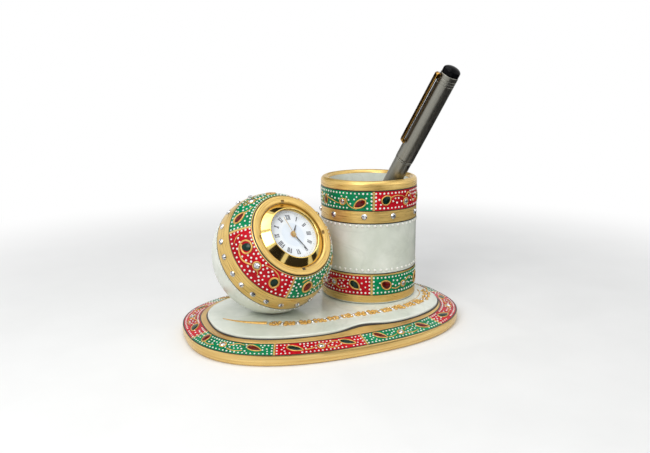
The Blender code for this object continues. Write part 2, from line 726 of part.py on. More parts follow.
def make_insert_shell(clock):
    """Bezel, lens, dial, case, gasket and back cover."""
    crest = (BEZEL_OPENING + BEZEL_CREST, BEZEL_TOP - BEZEL_CREST)
    rebate = BEZEL_TOP - BEZEL_LIP - LENS_REBATE
    bezel = [(BEZEL_RADIUS, BEZEL_BASE), (BEZEL_RADIUS, BEZEL_BASE + BEZEL_EDGE)]
    bezel += arc(crest, BEZEL_CREST, 50.0, 180.0, 4)
    bezel += [(BEZEL_OPENING, rebate), (BEZEL_BORE, rebate)]
    bezel.append((BEZEL_BORE, BEZEL_BASE))
    turned("insert_bezel", bezel, BEZEL_STEPS, brass(), clock)

    lens_back = LENS_TOP - LENS_THICKNESS
    glass = material("lens_glass", (0.95, 0.97, 0.98), 0.02)
    stepped("insert_lens", [(circle(LENS_RADIUS, CASE_STEPS), lens_back, LENS_TOP)], glass, clock)

    ring = [(LENS_RADIUS, DIAL_HEIGHT + LAYER_GAP), (LENS_RADIUS, lens_back - SEAT_GAP),
            (LENS_RADIUS - DIAL_RING_WALL, lens_back - SEAT_GAP),
            (LENS_RADIUS - DIAL_RING_WALL, DIAL_HEIGHT + LAYER_GAP)]
    turned("dial_ring", ring, CASE_STEPS, brass(), clock)

    white = material("white_dial", (0.90, 0.91, 0.93), 0.5)
    plate("dial", circle(LENS_RADIUS, CASE_STEPS), [hole(DIAL_HOLE)], DIAL_BACK, DIAL_HEIGHT, white, clock)

    make_case(clock)

    gasket_low = CASE_TOP - GASKET_LENGTH
    gasket = [(GASKET_RADIUS, gasket_low), (GASKET_RADIUS, CASE_TOP),
              (CASE_RADIUS + SEAT_GAP, CASE_TOP), (CASE_RADIUS + SEAT_GAP, gasket_low)]
    turned("grip_gasket", gasket, CASE_STEPS, material("rubber", (0.03, 0.03, 0.03), 0.8), clock)

    lip_outer = CASE_BORE - SEAT_GAP
    lip_inner = lip_outer - CASE_WALL
    back = [(0.0, BACK_FRONT - BACK_THICKNESS), (CASE_RADIUS, BACK_FRONT - BACK_THICKNESS),
            (CASE_RADIUS, BACK_FRONT), (lip_outer, BACK_FRONT), (lip_outer, BACK_FRONT + BACK_LIP),
            (lip_inner, BACK_FRONT + BACK_LIP), (lip_inner, BACK_FRONT), (0.0, BACK_FRONT)]
    turned("back_cover", back, CASE_STEPS, steel(), clock)


def make_case(clock):
    """The case behind the bezel, with a hole for the stem."""
    neck_bore = NECK_RADIUS - NECK_WALL
    section = [(CASE_RADIUS, CASE_BACK), (CASE_RADIUS, CASE_TOP), (NECK_RADIUS, CASE_TOP),
               (NECK_RADIUS, CASE_TOP + NECK_LENGTH), (neck_bore, CASE_TOP + NECK_LENGTH),
               (neck_bore, PLATE_FRONT + SEAT_GAP), (CASE_BORE, PLATE_FRONT + SEAT_GAP), (CASE_BORE, CASE_BACK)]
    case = turned("insert_case", section, CASE_STEPS, steel(), clock)
    cut(case, make_stem_cutter("case_stem_cutter", clock))


def make_stem_cutter(name, clock):
    """A round bar along the stem, to cut its way through a wall."""
    bar = (circle(STEM_RADIUS + LAYER_GAP, 16), 0.0, CASE_RADIUS + CUTTER_SPARE)
    cutter = stepped(name, [bar], steel(), clock)
    lay_along_stem(cutter)
    return cutter


def lay_along_stem(item):
    """Turn a piece that was made along Z so that it lies along the stem."""
    item.location = Vector((0.0, 0.0, STEM_HEIGHT)) * MM
    item.rotation_euler = (0.0, math.radians(90.0), 0.0)


def make_plates(clock):
    """Holder, main plate, train bridge and its two screws."""
    inner = HOLDER_RADIUS - HOLDER_WALL
    section = [(HOLDER_RADIUS, HOLDER_BACK), (HOLDER_RADIUS, PLATE_BACK - SEAT_GAP),
               (inner, PLATE_BACK - SEAT_GAP), (inner, HOLDER_BACK)]
    white = material("white_plastic", (0.80, 0.80, 0.78), 0.45)
    holder = turned("movement_holder", section, CASE_STEPS, white, clock)
    cut(holder, make_stem_cutter("holder_stem_cutter", clock))

    arbor_places = (THIRD_PLACE, INTERMEDIATE_PLACE, ROTOR_PLACE)
    shell = Shell()
    outer = shell.tube(circle(PLATE_RADIUS, CASE_STEPS), PLATE_BACK, PLATE_FRONT)
    shapes = [hole(CENTRE_PIPE_RADIUS + LAYER_GAP)]
    shapes += [hole(ARBOR_HOLE, 12, place) for place in arbor_places]
    shapes.append(hole(ARBOR_HOLE, 12, MINUTE_WHEEL_PLACE))
    shapes += [hole(SCREW_RADIUS + WATCH_GAP, 12, place) for place in SCREW_PLACES]
    bores = [shell.tube(shape, PLATE_BACK, PLATE_FRONT) for shape in shapes]
    post_shape = circle(LEVER_POST_RADIUS, 16, (LEVER_PIVOT_X, LEVER_PIVOT_Y))
    post = shell.tube(post_shape, STEM_HEIGHT - LEVER_THICKNESS, PLATE_BACK)
    shell.cap(post[0])
    shell.cap(outer[0], post[1], *[bore[0] for bore in bores])
    shell.cap(outer[1], *[bore[1] for bore in bores])
    shell.finish("main_plate", brass(), clock)

    shell = Shell()
    outer = shell.tube(circle(BRIDGE_RADIUS, CASE_STEPS, (BRIDGE_X, BRIDGE_Y)), BRIDGE_BACK, BRIDGE_FRONT)
    shapes = [hole(ARBOR_HOLE, 12, place) for place in ((0.0, 0.0), *arbor_places)]
    bores = [shell.tube(shape, BRIDGE_BACK, BRIDGE_FRONT) for shape in shapes]
    pillars = []
    screw_bores = []
    for place in SCREW_PLACES:
        pillar = shell.tube(circle(PILLAR_RADIUS, 16, place), BRIDGE_FRONT, PILLAR_TOP)
        bore = shell.tube(hole(SCREW_RADIUS + WATCH_GAP, 12, place), BRIDGE_BACK, PILLAR_TOP)
        shell.cap(pillar[1], bore[1])
        pillars.append(pillar)
        screw_bores.append(bore)
    shell.cap(outer[0], *[bore[0] for bore in bores + screw_bores])
    shell.cap(outer[1], *[bore[1] for bore in bores], *[pillar[0] for pillar in pillars])
    shell.finish("train_bridge", brass(), clock)

    for number, place in enumerate(SCREW_PLACES, start=1):
        head_back = SCREW_HEAD_FRONT - SCREW_HEAD_HEIGHT
        levels = [(circle(SCREW_HEAD_RADIUS, 16, place), head_back, SCREW_HEAD_FRONT),
                  (circle(SCREW_RADIUS, 12, place), SCREW_HEAD_FRONT, PLATE_FRONT - LAYER_GAP)]
        stepped(f"bridge_screw_{number}", levels, steel(), clock)


def mesh_phase(own_teeth, way_to_other, leading):
    """The angle of a tooth, so that a leading wheel's tooth meets the other wheel's gap."""
    return way_to_other if leading else way_to_other + 180.0 / own_teeth


def make_train(clock):
    """Rotor, intermediate, second, third and centre wheels, from the motor to the minute pipe."""
    magnet = material("magnet", (0.25, 0.25, 0.27), 0.5, 0.6)
    level = INTERMEDIATE_LEVEL
    leaves = toothed(ROTOR_LEAVES, ROTOR_MODULE, phase=mesh_phase(ROTOR_LEAVES, ROTOR_BEARING + 180.0, True))
    magnet_back = THIRD_LEVEL - LAYER_GAP
    rotor = stepped("rotor", [
        (circle(ARBOR_RADIUS, 12), ARBOR_BACK, level),
        (leaves, level, level + WHEEL_THICKNESS),
        (circle(ARBOR_RADIUS, 12), level + WHEEL_THICKNESS, magnet_back),
        (circle(MAGNET_RADIUS, 20), magnet_back, magnet_back + MAGNET_LENGTH),
        (circle(ARBOR_RADIUS, 12), magnet_back + MAGNET_LENGTH, ARBOR_FRONT)], magnet, clock)
    rotor.location = Vector((*ROTOR_PLACE, 0.0)) * MM

    wheel_phase = mesh_phase(INTERMEDIATE_TEETH, ROTOR_BEARING, False)
    leaf_phase = mesh_phase(INTERMEDIATE_LEAVES, INTERMEDIATE_BEARING + 180.0, True)
    wheel = stepped("intermediate_wheel", [
        (circle(ARBOR_RADIUS, 12), ARBOR_BACK, level),
        (toothed(INTERMEDIATE_TEETH, ROTOR_MODULE, phase=wheel_phase), level, level + WHEEL_THICKNESS),
        (toothed(INTERMEDIATE_LEAVES, INTERMEDIATE_MODULE, phase=leaf_phase),
         level + WHEEL_THICKNESS, SECOND_LEVEL + WHEEL_THICKNESS),
        (circle(ARBOR_RADIUS, 12), SECOND_LEVEL + WHEEL_THICKNESS, ARBOR_FRONT)], brass(), clock)
    wheel.location = Vector((*INTERMEDIATE_PLACE, 0.0)) * MM

    wheel_phase = mesh_phase(SECOND_TEETH, INTERMEDIATE_BEARING, False)
    leaf_phase = mesh_phase(SECOND_LEAVES, THIRD_BEARING, True)
    stepped("second_wheel", [
        (circle(ARBOR_RADIUS, 12), ARBOR_BACK, SECOND_LEVEL),
        (toothed(SECOND_TEETH, INTERMEDIATE_MODULE, phase=wheel_phase), SECOND_LEVEL,
         SECOND_LEVEL + WHEEL_THICKNESS),
        (toothed(SECOND_LEAVES, THIRD_MODULE, phase=leaf_phase), SECOND_LEVEL + WHEEL_THICKNESS,
         THIRD_LEVEL + WHEEL_THICKNESS),
        (circle(ARBOR_RADIUS, 12), THIRD_LEVEL + WHEEL_THICKNESS, SECOND_HAND_BACK + HAND_THICKNESS)],
        brass(), clock)

    wheel_phase = mesh_phase(THIRD_TEETH, THIRD_BEARING + 180.0, False)
    leaf_phase = mesh_phase(THIRD_LEAVES, THIRD_BEARING + 180.0, True)
    wheel = stepped("third_wheel", [
        (circle(ARBOR_RADIUS, 12), ARBOR_BACK, THIRD_LEVEL),
        (toothed(THIRD_TEETH, THIRD_MODULE, phase=wheel_phase), THIRD_LEVEL, THIRD_LEVEL + WHEEL_THICKNESS),
        (toothed(THIRD_LEAVES, CENTRE_MODULE, phase=leaf_phase), THIRD_LEVEL + WHEEL_THICKNESS,
         CENTRE_LEVEL + WHEEL_THICKNESS),
        (circle(ARBOR_RADIUS, 12), CENTRE_LEVEL + WHEEL_THICKNESS, ARBOR_FRONT)], brass(), clock)
    wheel.location = Vector((*THIRD_PLACE, 0.0)) * MM

    wheel_phase = mesh_phase(CENTRE_TEETH, THIRD_BEARING, False)
    stepped("centre_wheel", [
        (toothed(CENTRE_TEETH, CENTRE_MODULE, phase=wheel_phase), CENTRE_LEVEL, CENTRE_LEVEL + WHEEL_THICKNESS),
        (circle(CENTRE_PIPE_RADIUS, 16), CENTRE_LEVEL + WHEEL_THICKNESS, DIAL_BACK)],
        brass(), clock, CENTRE_BORE)


def make_motion_works(clock):
    """Cannon pinion, minute wheel and hour wheel, between the main plate and the dial."""
    leaf_phase = mesh_phase(CANNON_LEAVES, MINUTE_WHEEL_BEARING, True)
    stepped("cannon_pinion", [
        (toothed(CANNON_LEAVES, MOTION_MODULE, phase=leaf_phase), MINUTE_LEVEL, MINUTE_LEVEL + WHEEL_THICKNESS),
        (circle(CANNON_PIPE_RADIUS, 16), MINUTE_LEVEL + WHEEL_THICKNESS, MINUTE_HAND_BACK + HAND_THICKNESS)],
        steel(), clock, CANNON_BORE)

    wheel_phase = mesh_phase(MINUTE_TEETH, MINUTE_WHEEL_BEARING + 180.0, False)
    leaf_phase = mesh_phase(MINUTE_LEAVES, MINUTE_WHEEL_BEARING + 180.0, True)
    wheel = stepped("minute_wheel", [
        (circle(ARBOR_RADIUS, 12), PLATE_BACK + LAYER_GAP, MINUTE_LEVEL),
        (toothed(MINUTE_TEETH, MOTION_MODULE, phase=wheel_phase), MINUTE_LEVEL, MINUTE_LEVEL + WHEEL_THICKNESS),
        (toothed(MINUTE_LEAVES, HOUR_MODULE, phase=leaf_phase), MINUTE_LEVEL + WHEEL_THICKNESS,
         HOUR_LEVEL + WHEEL_THICKNESS)], brass(), clock)
    wheel.location = Vector((*MINUTE_WHEEL_PLACE, 0.0)) * MM

    wheel_phase = mesh_phase(HOUR_TEETH, MINUTE_WHEEL_BEARING, False)
    stepped("hour_wheel", [
        (toothed(HOUR_TEETH, HOUR_MODULE, phase=wheel_phase), HOUR_LEVEL, HOUR_LEVEL + WHEEL_THICKNESS),
        (circle(HOUR_PIPE_RADIUS, 20), HOUR_LEVEL + WHEEL_THICKNESS, HOUR_HAND_BACK + HAND_THICKNESS)],
        brass(), clock, HOUR_BORE)


def make_motor(clock):
    """Stator, coil core and coil."""
    half_core = CORE_LENGTH / 2.0
    half_width = CORE_WIDTH / 2.0
    core_outline = [(-half_core, COIL_Y - half_width), (half_core, COIL_Y - half_width),
                    (half_core, COIL_Y + half_width), (-half_core, COIL_Y + half_width)]
    core_front = COIL_HEIGHT + CORE_THICKNESS / 2.0
    plate("coil_core", core_outline, [], core_front - CORE_THICKNESS, core_front, steel(), clock)

    section = [(COIL_RADIUS, -COIL_LENGTH / 2.0), (COIL_RADIUS, COIL_LENGTH / 2.0),
               (COIL_BORE, COIL_LENGTH / 2.0), (COIL_BORE, -COIL_LENGTH / 2.0)]
    coil = turned("drive_coil", section, 24, copper(), clock)
    coil.location = Vector((0.0, COIL_Y, COIL_HEIGHT)) * MM
    coil.rotation_euler = (0.0, math.radians(90.0), 0.0)

    eye = MAGNET_RADIUS + SEAT_GAP
    shoulder = eye + STATOR_EYE_WALL
    foot_y = COIL_Y - STATOR_EYE_WALL
    slot_x = STATOR_HALF_WIDTH - STATOR_FOOT
    slot_y = COIL_Y + COIL_RADIUS + SEAT_GAP
    outline = [(-STATOR_HALF_WIDTH, foot_y), (-slot_x, foot_y), (-slot_x, slot_y), (slot_x, slot_y),
               (slot_x, foot_y), (STATOR_HALF_WIDTH, foot_y), (STATOR_HALF_WIDTH, ROTOR_PLACE[1])]
    outline += arc(ROTOR_PLACE, shoulder, 0.0, 180.0, 10)
    outline += [(ROTOR_PLACE[0] - shoulder, STATOR_BACK_Y), (-STATOR_HALF_WIDTH, STATOR_BACK_Y)]
    stator_back = core_front + SEAT_GAP
    plate("stator", outline, [hole(eye, 20, ROTOR_PLACE)], stator_back, stator_back + STATOR_THICKNESS,
          steel(), clock)


def make_electronics(clock):
    """Circuit board, quartz can, chip, battery and its strap."""
    half_edge = math.degrees(math.asin(BOARD_EDGE_Y / BOARD_RADIUS))
    outline = arc((0.0, 0.0), BOARD_RADIUS, 180.0 - half_edge, 360.0 + half_edge, 36)
    screws = [hole(SCREW_RADIUS + WATCH_GAP, 12, place) for place in SCREW_PLACES]
    green = material("circuit_board", (0.05, 0.25, 0.10), 0.5)
    plate("circuit_board", outline, screws, BOARD_BACK, BOARD_FRONT, green, clock)

    can_height = BOARD_BACK - SEAT_GAP - CAN_RADIUS
    can = stepped("quartz_can", [(circle(CAN_RADIUS, 16), 0.0, CAN_LENGTH)], steel(), clock)
    can.location = Vector((CAN_PLACE[0] - CAN_LENGTH / 2.0, CAN_PLACE[1], can_height)) * MM
    can.rotation_euler = (0.0, math.radians(90.0), 0.0)

    half = CHIP_SIZE / 2.0
    x, y = CHIP_PLACE
    chip_outline = [(x - half, y - half), (x + half, y - half), (x + half, y + half), (x - half, y + half)]
    chip_front = BOARD_BACK - SEAT_GAP
    plate("control_chip", chip_outline, [], chip_front - CHIP_THICKNESS, chip_front, black_plastic(), clock)

    battery_back = BATTERY_FRONT - BATTERY_THICKNESS
    can_wall = circle(BATTERY_RADIUS, 32, BATTERY_PLACE)
    stepped("button_battery", [
        (circle(BATTERY_RADIUS - BATTERY_EDGE, 32, BATTERY_PLACE), battery_back, battery_back + BATTERY_EDGE),
        (can_wall, battery_back + BATTERY_EDGE, BATTERY_FRONT)], steel(), clock)

    make_battery_strap(clock)


def make_battery_strap(clock):
    """A bent spring strip that stands on the board and lies across the battery."""
    foot_front = BOARD_BACK - SEAT_GAP
    foot_back = foot_front - STRAP_THICKNESS
    strip_front = STRAP_BACK + STRAP_THICKNESS
    bend_y = STRAP_START_Y + STRAP_FOOT
    side = [(STRAP_START_Y, foot_front), (STRAP_START_Y, foot_back), (bend_y - STRAP_THICKNESS, foot_back),
            (bend_y - STRAP_THICKNESS, STRAP_BACK), (STRAP_END_Y, STRAP_BACK), (STRAP_END_Y, strip_front),
            (bend_y, strip_front), (bend_y, foot_front)]
    strap = plate("battery_strap", side, [], -STRAP_WIDTH / 2.0, STRAP_WIDTH / 2.0, steel(), clock)
    strap.matrix_local = Matrix(((0.0, 0.0, 1.0, STRAP_X * MM), (1.0, 0.0, 0.0, 0.0),
                                 (0.0, 1.0, 0.0, 0.0), (0.0, 0.0, 0.0, 1.0)))


def make_setting(clock):
    """Winding stem, sliding pinion, crown and setting lever."""
    groove_end = GROOVE_START + GROOVE_LENGTH
    stem_end = CROWN_START + STEM_IN_CROWN
    stem = stepped("winding_stem", [
        (circle(STEM_RADIUS, 16), STEM_START, GROOVE_START),
        (circle(GROOVE_RADIUS, 16), GROOVE_START, groove_end),
        (circle(STEM_RADIUS, 16), groove_end, stem_end)], steel(), clock)
    lay_along_stem(stem)

    pinion_end = SLIDING_PINION_START + SLIDING_PINION_LENGTH
    leaves = toothed(SLIDING_PINION_LEAVES, MOTION_MODULE)
    pinion = stepped("sliding_pinion", [(leaves, SLIDING_PINION_START, pinion_end)], steel(), clock,
                     STEM_RADIUS + WATCH_GAP)
    lay_along_stem(pinion)

    crown_end = CROWN_START + CROWN_THICKNESS
    bore_end = stem_end + LAYER_GAP
    shares = (1.0, 1.0 - CROWN_FLUTE_DEPTH / CROWN_RADIUS)
    flutes = [(x * shares[i % 2], y * shares[i % 2])
              for i, (x, y) in enumerate(circle(CROWN_RADIUS, 2 * CROWN_FLUTES))]
    shell = Shell()
    outer = shell.tube(flutes, CROWN_START, crown_end)
    bore = shell.tube(hole(STEM_RADIUS + WATCH_GAP), CROWN_START, bore_end)
    shell.cap(outer[0], bore[0])
    shell.cap(bore[1])
    shell.cap(outer[1])
    crown = shell.finish("crown", brass(), clock)
    lay_along_stem(crown)

    nose = LEVER_NOSE_WIDTH / 2.0
    side_angle = math.degrees(math.asin(nose / LEVER_BOSS_RADIUS))
    outline = arc((0.0, 0.0), LEVER_BOSS_RADIUS, -90.0 + side_angle, 270.0 - side_angle, 16)
    outline += [(-nose, -LEVER_REACH), (nose, -LEVER_REACH)]
    lever_back = STEM_HEIGHT - LEVER_THICKNESS / 2.0
    lever = plate("setting_lever", outline, [hole(LEVER_POST_RADIUS + WATCH_GAP)],
                  lever_back, lever_back + LEVER_THICKNESS, steel(), clock)
    lever.location = Vector((LEVER_PIVOT_X, LEVER_PIVOT_Y, 0.0)) * MM


def make_hand(name, length, width, tip_width, tail, pipe_radius, low, angle, finish, clock):
    """A flat tapered hand on its round boss, with its hole over the pipe."""
    bore = pipe_radius + WATCH_GAP
    boss = bore + BOSS_WALL
    half = width / 2.0
    side_angle = math.degrees(math.asin(half / boss))
    outline = [(-tip_width / 2.0, length), (tip_width / 2.0, length)][::-1]
    outline += [(-half, boss * math.cos(math.radians(side_angle)))]
    outline += arc((0.0, 0.0), boss, 90.0 + side_angle, 270.0 - side_angle, 6)[1:]
    if tail:
        outline += [(-half, -tail), (half, -tail)]
        outline += [(half, -boss * math.cos(math.radians(side_angle)))]
    else:
        outline += [(0.0, -boss)]
        outline += [(half, -boss * math.cos(math.radians(side_angle)))]
    outline += arc((0.0, 0.0), boss, -90.0 + side_angle, 90.0 - side_angle, 6)[1:]
    hand = plate(name, outline, [hole(bore)], low, low + HAND_THICKNESS, finish, clock)
    hand.rotation_euler = (0.0, 0.0, -math.radians(angle))
    return hand


def make_hands(clock):
    """Hour, minute and second hands at the photographed time."""
    dark = material("dark_hand", (0.06, 0.06, 0.07), 0.3, 0.5)
    make_hand("hour_hand", HOUR_HAND_LENGTH, HOUR_HAND_WIDTH, HOUR_HAND_TIP, 0.0, HOUR_PIPE_RADIUS,
              HOUR_HAND_BACK, HOUR_HAND_ANGLE, dark, clock)
    make_hand("minute_hand", MINUTE_HAND_LENGTH, MINUTE_HAND_WIDTH, MINUTE_HAND_TIP, 0.0, CANNON_PIPE_RADIUS,
              MINUTE_HAND_BACK, MINUTE_HAND_ANGLE, dark, clock)
    make_hand("second_hand", SECOND_HAND_LENGTH, SECOND_HAND_WIDTH, SECOND_HAND_WIDTH, SECOND_HAND_TAIL,
              ARBOR_RADIUS, SECOND_HAND_BACK, SECOND_HAND_ANGLE, brass(), clock)


def make_pen(pen):
    """Barrel, trim ring, section, refill, cap, liner and finial."""
    grey = material("brushed_metal", (0.30, 0.29, 0.27), 0.35, 1.0)
    flat = BARREL_RADIUS - BARREL_END_RADIUS
    barrel = [(0.0, 0.0)] + arc((flat, BARREL_END_RADIUS), BARREL_END_RADIUS, -90.0, 0.0, 5)
    barrel += [(BARREL_RADIUS, BARREL_LENGTH), (BARREL_BORE, BARREL_LENGTH),
               (BARREL_BORE, BARREL_END_WALL + BARREL_END_RADIUS), (0.0, BARREL_END_WALL)]
    turned("pen_barrel", barrel, PEN_STEPS, grey, pen)

    ring_end = SEAM_RING_START + SEAM_RING_LENGTH
    ring_bore = BARREL_BORE
    ring = [(SEAM_RING_RADIUS, SEAM_RING_START), (SEAM_RING_RADIUS, ring_end),
            (ring_bore, ring_end), (ring_bore, SEAM_RING_START)]
    turned("seam_ring", ring, PEN_STEPS, brass(), pen)

    section_start = BARREL_LENGTH - SECTION_TAIL
    nose_start = SECTION_END - SECTION_NOSE_LENGTH
    bore = REFILL_RADIUS + SEAT_GAP
    nose_bore = REFILL_POINT_RADIUS + LAYER_GAP
    section = [(SECTION_THREAD_RADIUS, section_start), (SECTION_THREAD_RADIUS, CAP_START),
               (SECTION_GRIP_RADIUS, CAP_START), (SECTION_GRIP_RADIUS, CAP_START + SECTION_GRIP_LENGTH),
               (SECTION_FRONT_RADIUS, nose_start), (SECTION_NOSE_RADIUS, SECTION_END),
               (nose_bore, SECTION_END), (nose_bore, SECTION_END - SECTION_MOUTH_LENGTH), (bore, nose_start),
               (bore, section_start)]
    turned("grip_section", section, 24, black_plastic(), pen)

    refill_end = nose_start - SEAT_GAP
    refill = [(0.0, section_start - REFILL_TAIL), (REFILL_RADIUS, section_start - REFILL_TAIL),
              (REFILL_RADIUS, refill_end), (REFILL_POINT_RADIUS, SECTION_END - SECTION_MOUTH_LENGTH),
              (REFILL_POINT_RADIUS, SECTION_END + REFILL_POINT_LENGTH - REFILL_TIP_LENGTH),
              (0.0, SECTION_END + REFILL_POINT_LENGTH)]
    turned("refill", refill, 12, steel(), pen)

    cap = [(CAP_MOUTH_RADIUS, CAP_START), (CAP_TOP_RADIUS, CAP_END),
           (CAP_TOP_BORE, CAP_END), (CAP_BORE, CAP_START)]
    turned("pen_cap", cap, PEN_STEPS, grey, pen)

    liner_start = CAP_START + LINER_INSET
    liner_radius = CAP_TOP_BORE - SEAT_GAP
    liner_bore = liner_radius - LINER_WALL
    liner = [(0.0, LINER_END), (liner_bore, LINER_END), (liner_bore, liner_start), (liner_radius, liner_start),
             (liner_radius, LINER_END + LINER_WALL), (0.0, LINER_END + LINER_WALL)]
    turned("cap_liner", liner, 24, black_plastic(), pen)

    head = CAP_END + SEAT_GAP
    plug_radius = CAP_TOP_BORE - SEAT_GAP
    dome_start = head + FINIAL_LENGTH - FINIAL_DOME
    dome = []
    for step in range(7):
        turn = math.radians(15.0 * step)
        dome.append((FINIAL_RADIUS * math.cos(turn), dome_start + FINIAL_DOME * math.sin(turn)))
    dome[-1] = (0.0, head + FINIAL_LENGTH)
    finial = [(0.0, CAP_END - FINIAL_PLUG), (plug_radius, CAP_END - FINIAL_PLUG), (plug_radius, head),
              (FINIAL_RADIUS, head)] + dome
    turned("cap_finial", finial, PEN_STEPS, black_plastic(), pen)
    make_clip(pen)


def make_clip(pen):
    """The clip: a root on the cap, a long flat arm and a round end that comes back to the cap."""
    root_top = CAP_END - CLIP_BELOW_CAP_END
    end = root_top - CLIP_LENGTH
    inner = CAP_MOUTH_RADIUS + CLIP_STAND_OFF
    outer = inner + CLIP_THICKNESS
    foot = CAP_MOUTH_RADIUS + SEAT_GAP
    ball_x = foot + CLIP_BALL_RADIUS
    side = [(foot, root_top), (foot, root_top - CLIP_ROOT), (inner, root_top - CLIP_ROOT - CLIP_BEND)]
    join = math.degrees(math.acos((inner - ball_x) / CLIP_BALL_RADIUS))
    side += arc((ball_x, end + CLIP_BALL_RADIUS), CLIP_BALL_RADIUS, join, 360.0, 12)
    side += [(outer, end + CLIP_BALL_RADIUS + CLIP_BALL_SHOULDER), (outer, root_top - CLIP_BEND),
             (outer - CLIP_BEND, root_top)]
    clip = plate("pen_clip", side, [], -CLIP_WIDTH / 2.0, CLIP_WIDTH / 2.0, brass(), pen)
    clip.matrix_local = Matrix(((1.0, 0.0, 0.0, 0.0), (0.0, 0.0, -1.0, 0.0),
                                (0.0, 1.0, 0.0, 0.0), (0.0, 0.0, 0.0, 1.0)))


def build():
    """Make every piece."""
    clear_scene()
    clock = make_frame("clock_frame", clock_matrix())
    pen = make_frame("pen_frame", pen_matrix())
    make_base()
    make_ball(clock)
    make_cup()
    make_insert_shell(clock)
    make_plates(clock)
    make_train(clock)
    make_motion_works(clock)
    make_motor(clock)
    make_electronics(clock)
    make_setting(clock)
    make_hands(clock)
    make_pen(pen)


build()
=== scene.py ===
"""Hand-painted marble desk set: an oval base, a ball with a push-in clock, a pen cup and a metal pen.

Every new piece lies on the part's own surfaces. A place on the ball is its longitude and colatitude
about the dial's axis, one on the cup its angle and height, and one on the base's border its length
round the rim and its distance in. Lengths are millimetres and angles degrees until MM makes metres.
"""
from __future__ import annotations

import json
import logging
import math
import random
from dataclasses import dataclass, field, replace
from enum import Enum

import bmesh
import bpy
import numpy as np
from mathutils import Matrix, Vector


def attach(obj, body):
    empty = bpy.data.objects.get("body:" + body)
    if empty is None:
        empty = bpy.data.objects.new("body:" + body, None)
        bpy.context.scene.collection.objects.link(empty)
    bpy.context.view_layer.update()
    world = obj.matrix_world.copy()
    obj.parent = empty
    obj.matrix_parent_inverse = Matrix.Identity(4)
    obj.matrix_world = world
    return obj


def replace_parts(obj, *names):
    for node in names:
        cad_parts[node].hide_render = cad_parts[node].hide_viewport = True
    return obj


Pair = tuple[float, float]
Place = tuple[float, float, float]
Height = np.ndarray | float
Line = tuple[np.ndarray, Height, bool]
Item = bpy.types.Object
Node = bpy.types.Node
Socket = bpy.types.NodeSocket
Tree = bpy.types.NodeTree

# A millimetre, and the distance under which two corners become one, both in metres.
MM = 0.001
MERGE = 1e-6
# The noise values between which a finish goes from its dark to its light shade, and from its low roughness
# to its high one.
SHADE_SPAN = (0.32, 0.68)
SHEEN_SPAN = (0.3, 0.7)
# How much each finer layer adds to the noise, how rough a clear coat is, and a quarter of a turn.
NOISE_ROUGHNESS = 0.55
COAT_ROUGHNESS = 0.05
QUARTER_TURN = 0.25
WHITE = (1.0, 1.0, 1.0, 1.0)
# How deep paint goes into its face, and how high dividers, black lines, gold lines, tendrils and stones
# stand on it, in millimetres.
COAT_DEPTH = 0.14
DIVIDER_LIFT = 0.12
LINER_LIFT = 0.03
LINE_LIFT = 0.05
CURL_LIFT = 0.02
STONE_LIFT = 0.04
# A stone's gold ring: its radius in stone radii, its half width, and how many points go round it.
RING_SCALE = 1.25
RING_LINE = 0.36
RING_STEPS = 20
# The half widths at the two ends of a tendril, and of the one that sweeps round a drop.
TENDRIL = (0.34, 0.2)
SWEEP = (0.52, 0.4)
# How many points go round a drop.
DROP_STEPS = 28
# The angles above which an edge stays sharp on small rounded pieces, and on pools of gel.
ROUND = 75.0
POOLED = 60.0

LOG = logging.getLogger("desk_set")
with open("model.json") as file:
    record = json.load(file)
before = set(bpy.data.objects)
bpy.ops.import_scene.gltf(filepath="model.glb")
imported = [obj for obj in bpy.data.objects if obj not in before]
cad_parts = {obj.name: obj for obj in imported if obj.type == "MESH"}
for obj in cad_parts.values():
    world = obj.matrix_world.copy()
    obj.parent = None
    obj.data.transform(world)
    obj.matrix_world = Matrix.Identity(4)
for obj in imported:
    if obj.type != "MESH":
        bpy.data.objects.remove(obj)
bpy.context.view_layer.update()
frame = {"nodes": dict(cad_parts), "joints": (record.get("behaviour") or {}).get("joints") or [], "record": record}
JOINTS = {joint["name"]: joint for joint in frame["joints"]}


def unit(values: tuple[float, ...] | np.ndarray) -> np.ndarray:
    """Return a direction as a unit vector."""
    array = np.array(values, float)
    return array / np.linalg.norm(array)


def linear(code: str) -> tuple[float, float, float, float]:
    """Turn an sRGB hex colour into linear values.

    Args:
        code: Six hex digits.

    Returns:
        Red, green, blue and full alpha.
    """
    parts = [int(code[i:i + 2], 16) / 255 for i in (0, 2, 4)]
    return (*[p / 12.92 if p <= 0.04045 else ((p + 0.055) / 1.055) ** 2.4 for p in parts], 1.0)


def add_node(tree: Tree, kind: str, inputs: dict | None = None, **settings) -> Node:
    """Add a shader node, set it and link it.

    Args:
        tree: The material's or world's node tree.
        kind: The node's type name.
        inputs: A value or an output socket for each input, by name or index.
        settings: The node's own properties.

    Returns:
        The new node.
    """
    node = tree.nodes.new(kind)
    for key, value in settings.items():
        setattr(node, key, value)
    for key, value in (inputs or {}).items():
        if isinstance(value, bpy.types.NodeSocket):
            tree.links.new(value, node.inputs[key])
        else:
            node.inputs[key].default_value = value
    return node


def calculate(tree: Tree, operation: str, *values: Socket | float) -> Socket:
    """Add a math node and return its result."""
    return add_node(tree, "ShaderNodeMath", dict(enumerate(values)), operation=operation).outputs[0]


def blend(tree: Tree, share: Socket, first: Socket | tuple, second: Socket | tuple) -> Socket:
    """Mix two colours by a share and return the colour."""
    return add_node(tree, "ShaderNodeMix", {0: share, 6: first, 7: second}, data_type="RGBA").outputs[2]


